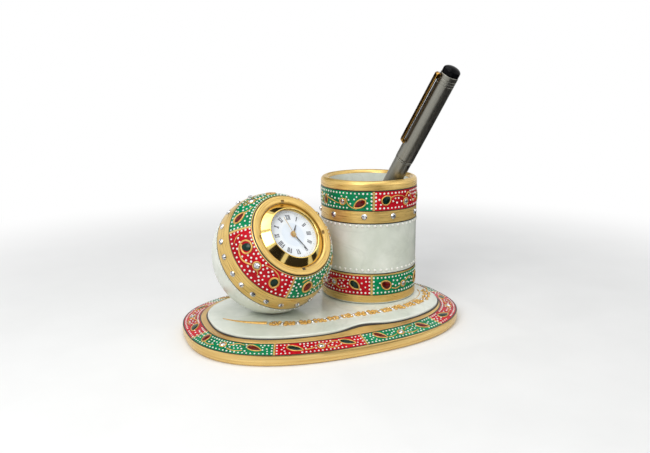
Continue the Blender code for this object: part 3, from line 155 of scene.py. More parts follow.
def ramp(tree: Tree, value: Socket, span: Pair, result: Pair = (0.0, 1.0), **settings) -> Socket:
    """Map one span of numbers to another.

    Args:
        tree: The material's node tree.
        value: The number's socket.
        span: Where the numbers start and end.
        result: What these two become.
        settings: The node's own properties.

    Returns:
        The socket of the mapped number.
    """
    ends = dict(zip(("From Min", "From Max", "To Min", "To Max"), (*span, *result)))
    return add_node(tree, "ShaderNodeMapRange", {"Value": value, **ends}, **settings).outputs[0]


def set_inputs(shader: Node, values: dict[str, float | Place]) -> None:
    """Set some of a shader's inputs by name."""
    for name, value in values.items():
        shader.inputs[name].default_value = value


def mix_surface(tree: Tree, share: Socket, first: Socket, second: Socket) -> None:
    """Show a material's first shader, and the second one by a share."""
    both = add_node(tree, "ShaderNodeMixShader", {0: share, 1: first, 2: second})
    tree.links.new(both.outputs[0], tree.nodes["Material Output"].inputs["Surface"])


class Wrap(Enum):
    """The coordinates that a finish's pattern follows."""

    BODY = "Object"
    SURFACE = "UV"


@dataclass(frozen=True)
class Finish:
    """A real finish: its two shades, the size of the marks between them, and how it shines."""

    name: str
    slot: str
    light: str
    dark: str
    grain: Place
    roughness: Pair
    metallic: float = 0.0
    coat: float = 0.0
    gloss: float = 0.5
    brushed: float = 0.0
    bump: float = 0.0
    detail: float = 4.0
    wrap: Wrap = Wrap.BODY

    def material(self) -> bpy.types.Material:
        """Build the material at first use, and hand out the same one later.

        Returns:
            The material.
        """
        found = bpy.data.materials.get(self.name)
        if found:
            return found
        made = bpy.data.materials.new(self.name)
        made.use_nodes = True
        made.diffuse_color = linear(self.light)
        tree = made.node_tree
        shader = tree.nodes["Principled BSDF"]
        set_inputs(shader, {"Metallic": self.metallic, "Specular IOR Level": self.gloss,
                            "Coat Weight": self.coat, "Coat Roughness": COAT_ROUGHNESS})
        if self.brushed:
            set_inputs(shader, {"Anisotropic": self.brushed, "Anisotropic Rotation": QUARTER_TURN})
            way = add_node(tree, "ShaderNodeTangent", direction_type="UV_MAP", uv_map="UVMap")
            tree.links.new(way.outputs[0], shader.inputs["Tangent"])
        self.dress(tree, shader, self.marks(tree, self.grain, self.detail))
        return made

    def marks(self, tree: Tree, grain: Place, detail: float, distortion: float = 0.0) -> Socket:
        """Lay a noise whose marks have a real size.

        Args:
            tree: The material's node tree.
            grain: The marks' size along each axis, in millimetres.
            detail: How many finer layers the noise has.
            distortion: How far the noise is dragged about.

        Returns:
            The socket of the noise's value.
        """
        where = add_node(tree, "ShaderNodeTexCoord").outputs[self.wrap.value]
        scale = tuple(1.0 / (size * MM) for size in grain)
        spread = add_node(tree, "ShaderNodeMapping", {"Vector": where, "Scale": scale})
        return add_node(tree, "ShaderNodeTexNoise", {
            "Vector": spread.outputs[0], "Scale": 1.0, "Detail": detail, "Roughness": NOISE_ROUGHNESS,
            "Distortion": distortion}).outputs[0]

    def shades(self, tree: Tree, marks: Socket) -> Socket:
        """Mix the two shades by the marks and return the colour."""
        return blend(tree, ramp(tree, marks, SHADE_SPAN), linear(self.dark), linear(self.light))

    def dress(self, tree: Tree, shader: Node, marks: Socket) -> None:
        """Drive colour, roughness and relief from the marks.

        Args:
            tree: The material's node tree.
            shader: Its Principled node.
            marks: The noise's value.
        """
        tree.links.new(self.shades(tree, marks), shader.inputs["Base Color"])
        tree.links.new(ramp(tree, marks, SHEEN_SPAN, self.roughness), shader.inputs["Roughness"])
        if self.bump:
            relief = add_node(tree, "ShaderNodeBump", {"Height": marks, "Distance": self.bump * MM,
                                                       "Strength": 1.0})
            tree.links.new(relief.outputs[0], shader.inputs["Normal"])


@dataclass(frozen=True)
class MarbleFinish(Finish):
    """Polished marble: soft clouds with a few thin grey-green veins, and light that sinks in a little."""

    vein: str = "B3B8AC"
    vein_spacing: float = 34.0
    vein_width: float = 0.022
    vein_drag: float = 0.9
    vein_detail: float = 5.0
    vein_strength: float = 0.35
    translucency: float = 0.18
    depth: float = 1.6
    depth_tint: Place = (1.0, 0.95, 0.85)

    def shades(self, tree: Tree, marks: Socket) -> Socket:
        """Lay the veins where a second noise is near its middle value, and return the colour."""
        clouds = super().shades(tree, marks)
        second = self.marks(tree, (self.vein_spacing,) * 3, self.vein_detail, self.vein_drag)
        away = calculate(tree, "ABSOLUTE", calculate(tree, "SUBTRACT", second, 0.5))
        line = ramp(tree, away, (0.0, self.vein_width), (self.vein_strength, 0.0))
        return blend(tree, line, clouds, linear(self.vein))

    def dress(self, tree: Tree, shader: Node, marks: Socket) -> None:
        """Add the stone's translucency to the usual links."""
        super().dress(tree, shader, marks)
        set_inputs(shader, {"Subsurface Weight": self.translucency, "Subsurface Radius": self.depth_tint,
                            "Subsurface Scale": self.depth * MM})


@dataclass(frozen=True)
class CentredFinish(Finish):
    """A finish with another shade inside a circle about the dial's axis."""

    inner: str = "FFFFFF"
    radius: float = 1.0
    edge: float = 0.2

    def shades(self, tree: Tree, marks: Socket) -> Socket:
        """Mix the inner shade in by the distance from the axis and return the colour."""
        outer = super().shades(tree, marks)
        where = add_node(tree, "ShaderNodeTexCoord").outputs["Object"]
        arm = add_node(tree, "ShaderNodeVectorMath", {0: where, 1: CLOCK.centre * MM}, operation="SUBTRACT")
        lever = add_node(tree, "ShaderNodeVectorMath", {0: arm.outputs[0], 1: CLOCK.out},
                         operation="CROSS_PRODUCT")
        far = add_node(tree, "ShaderNodeVectorMath", {0: lever.outputs[0]}, operation="LENGTH").outputs[1]
        share = ramp(tree, far, ((self.radius - self.edge) * MM, (self.radius + self.edge) * MM))
        return blend(tree, share, linear(self.inner), outer)


@dataclass(frozen=True)
class ClearFinish(Finish):
    """Clear glass that lets the lamps through to what lies behind it."""

    def dress(self, tree: Tree, shader: Node, marks: Socket) -> None:
        """Make the shader glass, and swap it for a transparent one for rays from lamps."""
        super().dress(tree, shader, marks)
        set_inputs(shader, {"Transmission Weight": 1.0})
        shadow = add_node(tree, "ShaderNodeLightPath").outputs["Is Shadow Ray"]
        open_way = add_node(tree, "ShaderNodeBsdfTransparent")
        mix_surface(tree, shadow, shader.outputs[0], open_way.outputs[0])


@dataclass(frozen=True)
class PaperFinish(Finish):
    """Studio paper that keeps the shadow near the object and is plain white further out."""

    near: float = 150.0
    far: float = 420.0

    def dress(self, tree: Tree, shader: Node, marks: Socket) -> None:
        """Fade the paper to white by the distance from the middle, for the eye and for mirrors."""
        super().dress(tree, shader, marks)
        where = add_node(tree, "ShaderNodeTexCoord").outputs["Object"]
        away = add_node(tree, "ShaderNodeVectorMath", {0: where}, operation="LENGTH").outputs[1]
        share = ramp(tree, away, (self.near * MM, self.far * MM), interpolation_type="SMOOTHSTEP")
        path = add_node(tree, "ShaderNodeLightPath").outputs
        seen = calculate(tree, "MAXIMUM", path["Is Camera Ray"], path["Is Glossy Ray"])
        white = add_node(tree, "ShaderNodeEmission", {"Color": WHITE, "Strength": 1.0})
        mix_surface(tree, calculate(tree, "MULTIPLY", share, seen), shader.outputs[0], white.outputs[0])


@dataclass(frozen=True)
class TurnedFrame:
    """A place with three axes, such as the clock's or the pen's."""

    centre: np.ndarray
    first: np.ndarray
    second: np.ndarray
    out: np.ndarray

    def matrix(self) -> Matrix:
        """Return the frame as a matrix in metres."""
        axes = Matrix([list(axis) for axis in (self.first, self.second, self.out)]).transposed().to_4x4()
        return Matrix.Translation(Vector(self.centre) * MM) @ axes


# The clock's frame has its centre in the ball's middle, and the pen's has its own at the pen's lower end.
BALL_CENTRE = (-27.3, 2.8, 40.007)
PEN_END = (25.679, 29.643, 16.396)
CLOCK_OUT = unit(JOINTS["insert_pull"]["axis"])
THREE = unit(JOINTS["crown_turn"]["axis"])
CLOCK = TurnedFrame(np.array(BALL_CENTRE), THREE, np.cross(CLOCK_OUT, THREE), CLOCK_OUT)
PEN_OUT = unit(JOINTS["pen_lift"]["axis"])
PEN_SIDE = -unit(JOINTS["clip_flex"]["axis"])
PEN = TurnedFrame(np.array(PEN_END), np.cross(PEN_SIDE, PEN_OUT), PEN_SIDE, PEN_OUT)

# Polished marble: a smooth face with soft clouds and thin veins, its gloss a little uneven.
MARBLE = MarbleFinish("polished_marble", "marble", "E9ECE1", "CFD5C7", (17.0, 17.0, 17.0), (0.14, 0.26),
                      gloss=0.45, bump=0.01, vein="B7BBAE", vein_strength=0.2)
# Gold poster paint laid on with a brush: satin, with long thin brush marks along the band.
GOLD = Finish("brushed_gold_paint", "gold_paint", "E9C878", "C8A257", (11.0, 0.55, 0.55), (0.24, 0.38), 0.45,
              bump=0.03, wrap=Wrap.SURFACE)
# The same paint in fewer, stronger brush marks, on the ledge round the plateau.
STREAKED_GOLD = Finish("streaked_gold_paint", "gold_paint", "E6BF70", "A67A34", (26.0, 0.8, 0.8),
                       (0.24, 0.38), 0.25, bump=0.05, wrap=Wrap.SURFACE)
# The same paint burnished smooth on the base's round edge: brighter where it meets the light, darker below.
BURNISHED_GOLD = Finish("burnished_gold_paint", "gold_paint", "EDCD85", "CDA65E", (30.0, 0.9, 0.9),
                        (0.18, 0.28), 0.65, bump=0.02, wrap=Wrap.SURFACE)
# Gold relief paste drawn from a cone: rounded lines with small lumps.
GOLD_LINE = Finish("gold_relief_paste", "gold_paint", "E8BC68", "BF8C3C", (1.6, 1.6, 1.6), (0.28, 0.42), 0.35,
                   bump=0.04)
# Enamel paint: glossy, with pools of slightly deeper colour.
RED = Finish("red_enamel_paint", "red_enamel", "CE0E24", "A00918", (7.0, 7.0, 7.0), (0.2, 0.32),
             coat=0.06, gloss=0.1, bump=0.02)
GREEN = Finish("green_enamel_paint", "green_enamel", "02935E", "036A42", (7.0, 7.0, 7.0), (0.2, 0.32),
               coat=0.06, gloss=0.1, bump=0.02)
# Thick gel paint in the drops: deep, wet looking and darker at the middle.
RED_GEL = Finish("dark_red_gel_paint", "red_enamel", "7C150B", "2C0604", (1.8, 1.8, 1.8), (0.08, 0.16),
                 coat=0.12, gloss=0.16)
GREEN_GEL = Finish("dark_green_gel_paint", "green_enamel", "0C3A2B", "03130D", (1.8, 1.8, 1.8), (0.08, 0.16),
                   coat=0.12, gloss=0.16)
# White relief paint: small satin beads.
DOTS = Finish("white_relief_paint", "white_dots", "F7F6EF", "E2E2D9", (0.7, 0.7, 0.7), (0.25, 0.4))
# Black liner paint: thin and nearly matte; the same black is also painted shade on the bottom notch's floor.
LINER = Finish("black_liner_paint", "dark_line", "2B221B", "15100D", (3.0, 0.6, 0.6), (0.35, 0.5), bump=0.01)
# Foil-backed cut glass, with light and dark patches painted into its colour by noise as painted reflections of a
# darker room.
CRYSTAL = Finish("foil_backed_crystal", "clear_stone", "F8F9FA", "4C5056", (0.8, 0.8, 0.8), (0.03, 0.1), 0.85,
                 coat=0.4, detail=1.0)
# Polished plated brass: a mirror with faint polishing haze.
BRASS = Finish("polished_plated_brass", "polished_brass", "EBD187", "DDBC65", (9.0, 9.0, 9.0), (0.05, 0.1),
               1.0, bump=0.002)
# Gilt spring steel: the bezel's gold made browner and darker as painted shade on the clip, with a faint drawn
# grain.
SHADED_GILT = Finish("gilt_steel_painted_shade", "polished_brass", "B98E45", "8E6629", (6.0, 6.0, 6.0), (0.14, 0.24), 1.0,
              bump=0.003)
# Stamped movement brass: duller, with a fine rolled grain.
PLATE_BRASS = Finish("stamped_brass", "movement_brass", "CFA865", "B58F50", (3.0, 0.2, 3.0), (0.28, 0.42),
                     1.0, bump=0.006)
# Satin stainless steel, with fine marks along the pen's turning.
PEN_METAL = Finish("satin_brushed_steel", "brushed_metal", "908F86", "84837B", (30.0, 0.4, 0.4), (0.34, 0.4),
                   1.0, brushed=0.3, bump=0.001, wrap=Wrap.SURFACE)
# Pressed steel: plain grey with a rolled haze.
STEEL = Finish("pressed_steel", "steel", "BDBEC0", "9B9C9F", (2.4, 0.3, 2.4), (0.24, 0.38), 1.0, bump=0.004)
# Moulded nitrile rubber: dull, with a fine bloom.
RUBBER = Finish("moulded_rubber", "rubber", "2E2D2C", "1C1B1B", (0.8, 0.8, 0.8), (0.7, 0.85), bump=0.01)
# Moulded white acetal: waxy and slightly uneven.
WHITE_PLASTIC = Finish("moulded_acetal", "white_plastic", "E6E5DF", "D5D4CD", (4.0, 4.0, 4.0), (0.38, 0.5),
                       bump=0.006)
# Polished black acrylic: a deep gloss with very faint ripples.
BLACK_PLASTIC = Finish("polished_black_acrylic", "black_plastic", "0B0B0D", "060607", (5.0, 5.0, 5.0),
                       (0.05, 0.1), gloss=0.05, bump=0.003)
# Enamelled copper wire: the turns show as fine bands across the coil.
COPPER = Finish("enamelled_copper_wire", "copper_wire", "C7713E", "8E4522", (0.12, 6.0, 6.0), (0.22, 0.36),
                1.0, bump=0.02)
# Sintered magnet: dark and grainy.
MAGNET = Finish("sintered_magnet", "magnet", "4C4D50", "36373A", (0.3, 0.3, 0.3), (0.4, 0.55), 0.6, bump=0.01)
# Solder mask on glass-epoxy: glossy green over a faint weave.
BOARD = Finish("solder_mask", "circuit_board", "2B6B40", "1D5230", (0.6, 0.6, 0.6), (0.2, 0.32), bump=0.008)
# Lacquered dial card, a little bluer inside the numeral ring.
DIAL = CentredFinish("lacquered_dial", "white_dial", "E6EAED", "E0E5E9", (6.0, 6.0, 6.0), (0.4, 0.5),
                     gloss=0.3, inner="D6DEE6", radius=6.4, edge=0.5)
# Dark lacquered hands with gilt roots.
HAND = CentredFinish("lacquered_hand", "dark_hand", "1F1F26", "131318", (1.5, 1.5, 1.5), (0.3, 0.42),
                     gloss=0.3, inner="B98A3A", radius=1.9, edge=0.5)
# Printing ink on the dial: flat and faintly blue.
INK = Finish("printing_ink", "dark_hand", "262A38", "1A1D28", (1.0, 1.0, 1.0), (0.55, 0.65), gloss=0.2)
# Mineral glass: clear and flat.
GLASS = ClearFinish("mineral_glass", "lens_glass", "FFFFFF", "FDFEFF", (20.0, 20.0, 20.0), (0.0, 0.01))
# A dull brown gold, for the uneven bead round the ball's foot and as painted shade on three notch floors.
BROWN_GOLD = Finish("brown_gold_bead_and_shade", "gold_paint", "9A7A45", "6E552E", (1.2, 1.2, 1.2), (0.45, 0.6), bump=0.05)
# Matte studio card: near black, and seen only in polished surfaces.
STUDIO_CARD = Finish("matte_studio_card", "rubber", "2B2829", "242122", (60.0, 60.0, 60.0), (0.85, 0.95),
                     gloss=0.1)

BY_SLOT = {finish.slot: finish for finish in (
    MARBLE, GOLD, RED, GREEN, DOTS, LINER, CRYSTAL, BRASS, PLATE_BRASS, PEN_METAL, STEEL, RUBBER,
    WHITE_PLASTIC, BLACK_PLASTIC, COPPER, MAGNET, BOARD, DIAL, HAND, GLASS)}


def clear_selection() -> None:
    """Leave edit mode and deselect everything."""
    if bpy.context.object and bpy.context.object.mode != "OBJECT":
        bpy.ops.object.mode_set(mode="OBJECT")
    bpy.ops.object.select_all(action="DESELECT")


def alone(item: Item) -> None:
    """Leave edit mode and select one object only."""
    clear_selection()
    bpy.context.view_layer.objects.active = item
    item.select_set(True)


def raw_object(points: np.ndarray, edges: list[tuple[int, int]], faces: list[tuple[int, ...]]) -> Item:
    """Make an object from points in metres.

    Args:
        points: One row for each corner.
        edges: Pairs of corners, for an outline without faces.
        faces: The corners of each face.

    Returns:
        The new object, alone selected.
    """
    mesh = bpy.data.meshes.new("piece")
    mesh.from_pydata([tuple(map(float, point)) for point in points], edges, faces)
    item = bpy.data.objects.new("piece", mesh)
    bpy.context.scene.collection.objects.link(item)
    alone(item)
    return item


def edit_all() -> None:
    """Edit the active object with everything selected."""
    bpy.ops.object.mode_set(mode="EDIT")
    bpy.ops.mesh.select_all(action="SELECT")


def right_way_out(item: Item) -> None:
    """Merge the doubled corners of a closed mesh and turn every face outwards."""
    alone(item)
    edit_all()
    bpy.ops.mesh.remove_doubles(threshold=MERGE)
    bpy.ops.mesh.normals_make_consistent(inside=False)
    bpy.ops.object.mode_set(mode="OBJECT")


def cut_below(height: float) -> None:
    """Cut the active object off below a height in metres, fill the cut and stay in edit mode."""
    edit_all()
    bpy.ops.mesh.bisect(plane_co=(0.0, 0.0, height), plane_no=(0.0, 0.0, 1.0), use_fill=True,
                        clear_inner=True)


def apply_modifier(item: Item, kind: str, **settings) -> None:
    """Add a modifier to the active object, set it and apply it."""
    modifier = item.modifiers.new(kind.lower(), kind)
    for key, value in settings.items():
        setattr(modifier, key, value)
    bpy.ops.object.modifier_apply(modifier=modifier.name)


def thicken(item: Item, thickness: float) -> None:
    """Give the active object, an open skin, a thickness in millimetres below its outer side."""
    apply_modifier(item, "SOLIDIFY", thickness=thickness * MM, offset=-1.0)


def mount(item: Item, name: str, finish: Finish, body: str, crease: float = 35.0) -> Item:
    """Name a finished piece, give it its finish and let it ride on its body.

    Args:
        item: The piece, in place.
        name: Its name.
        finish: What it is finished in.
        body: The CAD body that it moves with.
        crease: The angle above which an edge stays sharp; 0 leaves every face flat.

    Returns:
        The same piece.
    """
    item.name = item.data.name = name
    item.data.materials.clear()
    item.data.materials.append(finish.material())
    alone(item)
    if crease:
        bpy.ops.object.shade_smooth_by_angle(angle=math.radians(crease))
    else:
        bpy.ops.object.shade_flat()
    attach(item, body)
    LOG.info("%s: %d faces on %s", name, len(item.data.polygons), body)
    return item


def joined(items: list[Item]) -> Item:
    """Join several objects into the first."""
    alone(items[0])
    for item in items[1:]:
        item.select_set(True)
    if len(items) > 1:
        bpy.ops.object.join()
    return items[0]


def arc(x: float, y: float, radius: float, start: float, end: float, steps: int) -> list[Pair]:
    """Return the points of an arc between two angles, in degrees."""
    turns = np.radians(np.linspace(start, end, steps + 1))
    return [(x + radius * math.cos(t), y + radius * math.sin(t)) for t in turns]


def lathe(profile: list[Pair], place: Matrix, steps: int = 128) -> Item:
    """Spin a profile about Z in edit mode, unroll it for brush marks, and lay it in its place.

    Args:
        profile: Points of radius and height, in millimetres; it is closed where it doesn't start on the axis.
        place: The turning axis, as a matrix.
        steps: How many flats go round.

    Returns:
        The closed turned piece.
    """
    edges = [(i, i + 1) for i in range(len(profile) - 1)]
    if profile[0][0] > 0.0:
        edges.append((len(profile) - 1, 0))
    points = np.array([(radius * MM, 0.0, height * MM) for radius, height in profile])
    item = raw_object(points, edges, [])
    edit_all()
    bpy.ops.mesh.spin(steps=steps, angle=2.0 * math.pi, center=(0.0, 0.0, 0.0), axis=(0.0, 0.0, 1.0))
    right_way_out(item)
    mesh = item.data
    reach = max(radius for radius, _ in profile) * MM
    layer = mesh.uv_layers.new(name="UVMap")
    for face in mesh.polygons:
        corners = [mesh.vertices[mesh.loops[i].vertex_index].co for i in face.loop_indices]
        angles = [math.atan2(corner.y, corner.x) for corner in corners]
        if max(angles) - min(angles) > math.pi:
            angles = [angle + 2.0 * math.pi if angle < 0.0 else angle for angle in angles]
        for i, corner, angle in zip(face.loop_indices, corners, angles):
            layer.data[i].uv = (angle * reach, corner.z - math.hypot(corner.x, corner.y))
    mesh.transform(place)
    return item


def travelled(path: np.ndarray) -> np.ndarray:
    """Return how far along a path each of its points lies."""
    return np.append(0.0, np.cumsum(np.linalg.norm(np.diff(path, axis=0), axis=1)))


def loft(rings: list[np.ndarray], cyclic: bool) -> Item:
    """Join closed rings of points into one closed skin, unrolled for brush marks.

    Args:
        rings: Arrays of points in millimetres, all with as many rows.
        cyclic: Join the last ring to the first; otherwise both ends are filled flat.

    Returns:
        The closed piece.
    """
    count = len(rings[0])
    around = travelled(np.concatenate((rings[0], rings[0][:1]))) * MM
    gaps = [np.linalg.norm(b[0] - a[0]) for a, b in zip(rings, rings[1:] + rings[:1])]
    across = np.append(0.0, np.cumsum(gaps)) * MM
    faces, unrolled = [], []
    for i in range(len(rings) if cyclic else len(rings) - 1):
        following = (i + 1) % len(rings)
        for j in range(count):
            right = (j + 1) % count
            faces.append((i * count + j, i * count + right, following * count + right, following * count + j))
            unrolled += [(around[j], across[i]), (around[j + 1], across[i]), (around[j + 1], across[i + 1]),
                         (around[j], across[i + 1])]
    if not cyclic:
        for first in (0, (len(rings) - 1) * count):
            faces.append(tuple(range(first, first + count)))
            unrolled += [tuple(rings[first // count][j][:2] * MM) for j in range(count)]
    item = raw_object(np.concatenate(rings) * MM, [], faces)
    layer = item.data.uv_layers.new(name="UVMap")
    layer.data.foreach_set("uv", np.array(unrolled, np.float32).ravel())
    right_way_out(item)
    return item


class Face:
    """A painted face, on which a place is given by two numbers, along and across."""

    def wrap(self, along: np.ndarray, across: np.ndarray, lift: Height) -> np.ndarray:
        """Turn places on the face into points in metres.

        Args:
            along: The first number of each place.
            across: The second number of each place.
            lift: The height above the face, in millimetres.

        Returns:
            One row for each point.
        """
        raise NotImplementedError

    def units(self, across: float) -> Pair:
        """Return how many millimetres one unit along and one unit across are."""
        return 1.0, 1.0

    def seats(self, places: np.ndarray, lift: Height = 0.0) -> tuple[np.ndarray, np.ndarray]:
        """Find where small shapes sit and how they are turned.

        Args:
            places: One row of along and across for each.
            lift: The height above the face, in millimetres.

        Returns:
            The points in metres, and their along, across and outward axes.
        """
        near = 0.02
        along, across = places[:, 0], places[:, 1]
        step_along, step_across = self.units(float(across.mean()))
        points = self.wrap(along, across, lift)
        first = self.wrap(along + near / step_along, across, lift) - points
        second = self.wrap(along, across + near / step_across, lift) - points
        first /= np.linalg.norm(first, axis=1)[:, None]
        second /= np.linalg.norm(second, axis=1)[:, None]
        return points, np.stack((first, second, np.cross(first, second)), axis=1)


@dataclass
class BallFace(Face):
    """The ball: longitude clockwise from the top of the dial's axis, and colatitude from that axis."""

    radius: float = 31.3

    def wrap(self, along: np.ndarray, across: np.ndarray, lift: Height) -> np.ndarray:
        """Turn longitude and colatitude into points in metres."""
        level = unit(np.cross((0.0, 0.0, 1.0), CLOCK.out))
        rise = np.cross(CLOCK.out, level)
        lon, col = np.radians(along)[:, None], np.radians(across)[:, None]
        away = np.cos(col) * CLOCK.out + np.sin(col) * (np.cos(lon) * rise + np.sin(lon) * level)
        height = np.broadcast_to(np.asarray(lift, float), along.shape)[:, None]
        return (CLOCK.centre + away * (self.radius + height)) * MM

    def units(self, across: float) -> Pair:
        """Return the millimetres in a degree along and a degree across."""
        degree = self.radius * math.radians(1.0)
        return degree * math.sin(math.radians(across)), degree


@dataclass
class CupFace(Face):
    """The cup's wall: angle about its axis, and height above its foot."""

    x: float = 33.6
    y: float = 12.5
    foot: float = 9.5
    radius: float = 26.75

    def wrap(self, along: np.ndarray, across: np.ndarray, lift: Height) -> np.ndarray:
        """Turn angle and height into points in metres."""
        angle = np.radians(along)
        reach = self.radius + lift
        x, y = self.x + reach * np.cos(angle), self.y + reach * np.sin(angle)
        return np.stack((x, y, self.foot + across), 1) * MM

    def units(self, across: float) -> Pair:
        """Return the millimetres in a degree along and a millimetre across."""
        return self.radius * math.radians(1.0), 1.0


@dataclass
class FlatFace(Face):
    """A flat face: two distances along its own axes."""

    place: TurnedFrame

    def wrap(self, along: np.ndarray, across: np.ndarray, lift: Height) -> np.ndarray:
        """Turn two distances into points in metres."""
        height = np.broadcast_to(np.asarray(lift, float), along.shape)[:, None]
        flat = along[:, None] * self.place.first + across[:, None] * self.place.second
        return (self.place.centre + flat + height * self.place.out) * MM


@dataclass
class BasePlan:
    """The base's two outlines: the oval rim, and the plateau with a waist on each long side."""

    length: float = 150.0
    width: float = 105.0
    roundness: float = 2.42
    plateau_length: float = 126.6
    plateau_width: float = 76.6
    plateau_shift: float = 1.4
    plateau_roundness: float = 2.6
    waist_depth: float = 4.1
    waist_width: float = 11.0
    waist_x: float = 7.0
    steps: int = 288

    def __post_init__(self) -> None:
        """Space the outline's points evenly round the rim."""
        fine = np.linspace(0.0, 2.0 * math.pi, 40 * self.steps + 1)
        points, _ = self.oval(self.length, self.width, self.roundness, fine)
        gone = travelled(points)
        self.angles = np.interp(np.arange(self.steps) * gone[-1] / self.steps, gone, fine)

    @staticmethod
    def oval(length: float, width: float, power: float, angles: np.ndarray) -> tuple[np.ndarray, np.ndarray]:
        """Give points and outward normals of a superellipse.

        Args:
            length: Its whole length.
            width: Its whole width.
            power: 2 for an ellipse, more for a squarer one.
            angles: Where along it, in radians.

        Returns:
            The points and the normals, one row for each.
        """
        c, s = np.cos(angles), np.sin(angles)
        x = length / 2.0 * np.sign(c) * np.abs(c) ** (2.0 / power)
        y = width / 2.0 * np.sign(s) * np.abs(s) ** (2.0 / power)
        normal = np.stack((np.sign(x) * np.abs(2.0 * x / length) ** (power - 1.0) / length,
                           np.sign(y) * np.abs(2.0 * y / width) ** (power - 1.0) / width), 1)
        return np.stack((x, y), 1), normal / np.linalg.norm(normal, axis=1)[:, None]

    def rim(self, inset: float, height: float) -> np.ndarray:
        """Return the rim's ring, drawn in and at a height."""
        points, normal = self.oval(self.length, self.width, self.roundness, self.angles)
        return np.column_stack((points - normal * inset, np.full(self.steps, height)))

    def plateau(self, inset: float, height: float) -> np.ndarray:
        """Return the plateau's ring, drawn in and at a height."""
        shape = (self.plateau_length, self.plateau_width, self.plateau_roundness)
        points, normal = self.oval(*shape, self.angles)
        x, y = points[:, 0] + self.plateau_shift, points[:, 1]
        waist = self.waist_depth * np.exp(-((x - self.waist_x) / self.waist_width) ** 2)
        y = y - np.sign(y) * waist * np.minimum(1.0, np.abs(y) / self.waist_depth)
        return np.column_stack((np.column_stack((x, y)) - normal * inset, np.full(self.steps, height)))


@dataclass
class BorderFace(Face):
    """The base's sloping border: length round its middle from the right end, and distance in from the rim."""

    plan: BasePlan
    low_inset: float = 0.25
    low: float = 5.3
    high_inset: float = 9.65
    high: float = 7.4

    def __post_init__(self) -> None:
        """Measure the border's middle line."""
        plan = self.plan
        angles = np.append(plan.angles, 2.0 * math.pi)
        self.points, self.normals = plan.oval(plan.length, plan.width, plan.roundness, angles)
        self.gone = travelled(self.points - self.normals * (self.low_inset + self.high_inset) / 2.0)
        self.whole = float(self.gone[-1])

    def wrap(self, along: np.ndarray, across: np.ndarray, lift: Height) -> np.ndarray:
        """Turn length round the rim and distance in into points in metres."""
        place = np.mod(along, self.whole)
        point = np.stack([np.interp(place, self.gone, self.points[:, i]) for i in (0, 1)], 1)
        normal = np.stack([np.interp(place, self.gone, self.normals[:, i]) for i in (0, 1)], 1)
        normal /= np.linalg.norm(normal, axis=1)[:, None]
        slope = math.atan2(self.high - self.low, self.high_inset - self.low_inset)
        height = self.low + (across - self.low_inset) * math.tan(slope) + lift * math.cos(slope)
        inset = across - lift * math.sin(slope)
        return np.column_stack((point - normal * inset[:, None], height)) * MM


def patch(face: Face, along: Pair, across: Pair, lift: float = 0.0, thickness: float = COAT_DEPTH,
          step: float = 1.0) -> Item:
    """Lay a thin coat of paint on part of a face: a grid, wrapped and given a thickness.

    Args:
        face: What it is painted on.
        along: Where it starts and ends along the face.
        across: Where it starts and ends across the face.
        lift: The height of its outer side, in millimetres.
        thickness: How deep it goes from there, in millimetres.
        step: The longest side of a grid square, in millimetres.

    Returns:
        The closed coat.
    """
    unit_along, unit_across = face.units(sum(across) / 2.0)
    extent = (along[1] - along[0], across[1] - across[0])
    length, width = extent[0] * unit_along, extent[1] * unit_across
    clear_selection()
    bpy.ops.mesh.primitive_grid_add(x_subdivisions=max(1, round(length / step)),
                                    y_subdivisions=max(1, round(width / step)), size=1.0)
    item = bpy.context.object
    mesh = item.data
    flat = np.zeros(3 * len(mesh.vertices))
    mesh.vertices.foreach_get("co", flat)
    flat = flat.reshape(-1, 3) + 0.5
    points = face.wrap(along[0] + extent[0] * flat[:, 0], across[0] + extent[1] * flat[:, 1], lift)
    mesh.vertices.foreach_set("co", points.ravel())
    layer = mesh.uv_layers[0]
    unrolled = np.zeros(2 * len(mesh.loops))
    layer.data.foreach_get("uv", unrolled)
    unrolled = unrolled.reshape(-1, 2) * (length * MM, width * MM) + (along[0] * unit_along * MM, 0.0)
    layer.data.foreach_set("uv", unrolled.astype(np.float32).ravel())
    mesh.update()
    edit_all()
    bpy.ops.mesh.remove_doubles(threshold=MERGE)
    bpy.ops.object.mode_set(mode="OBJECT")
    thicken(item, thickness)
    return item


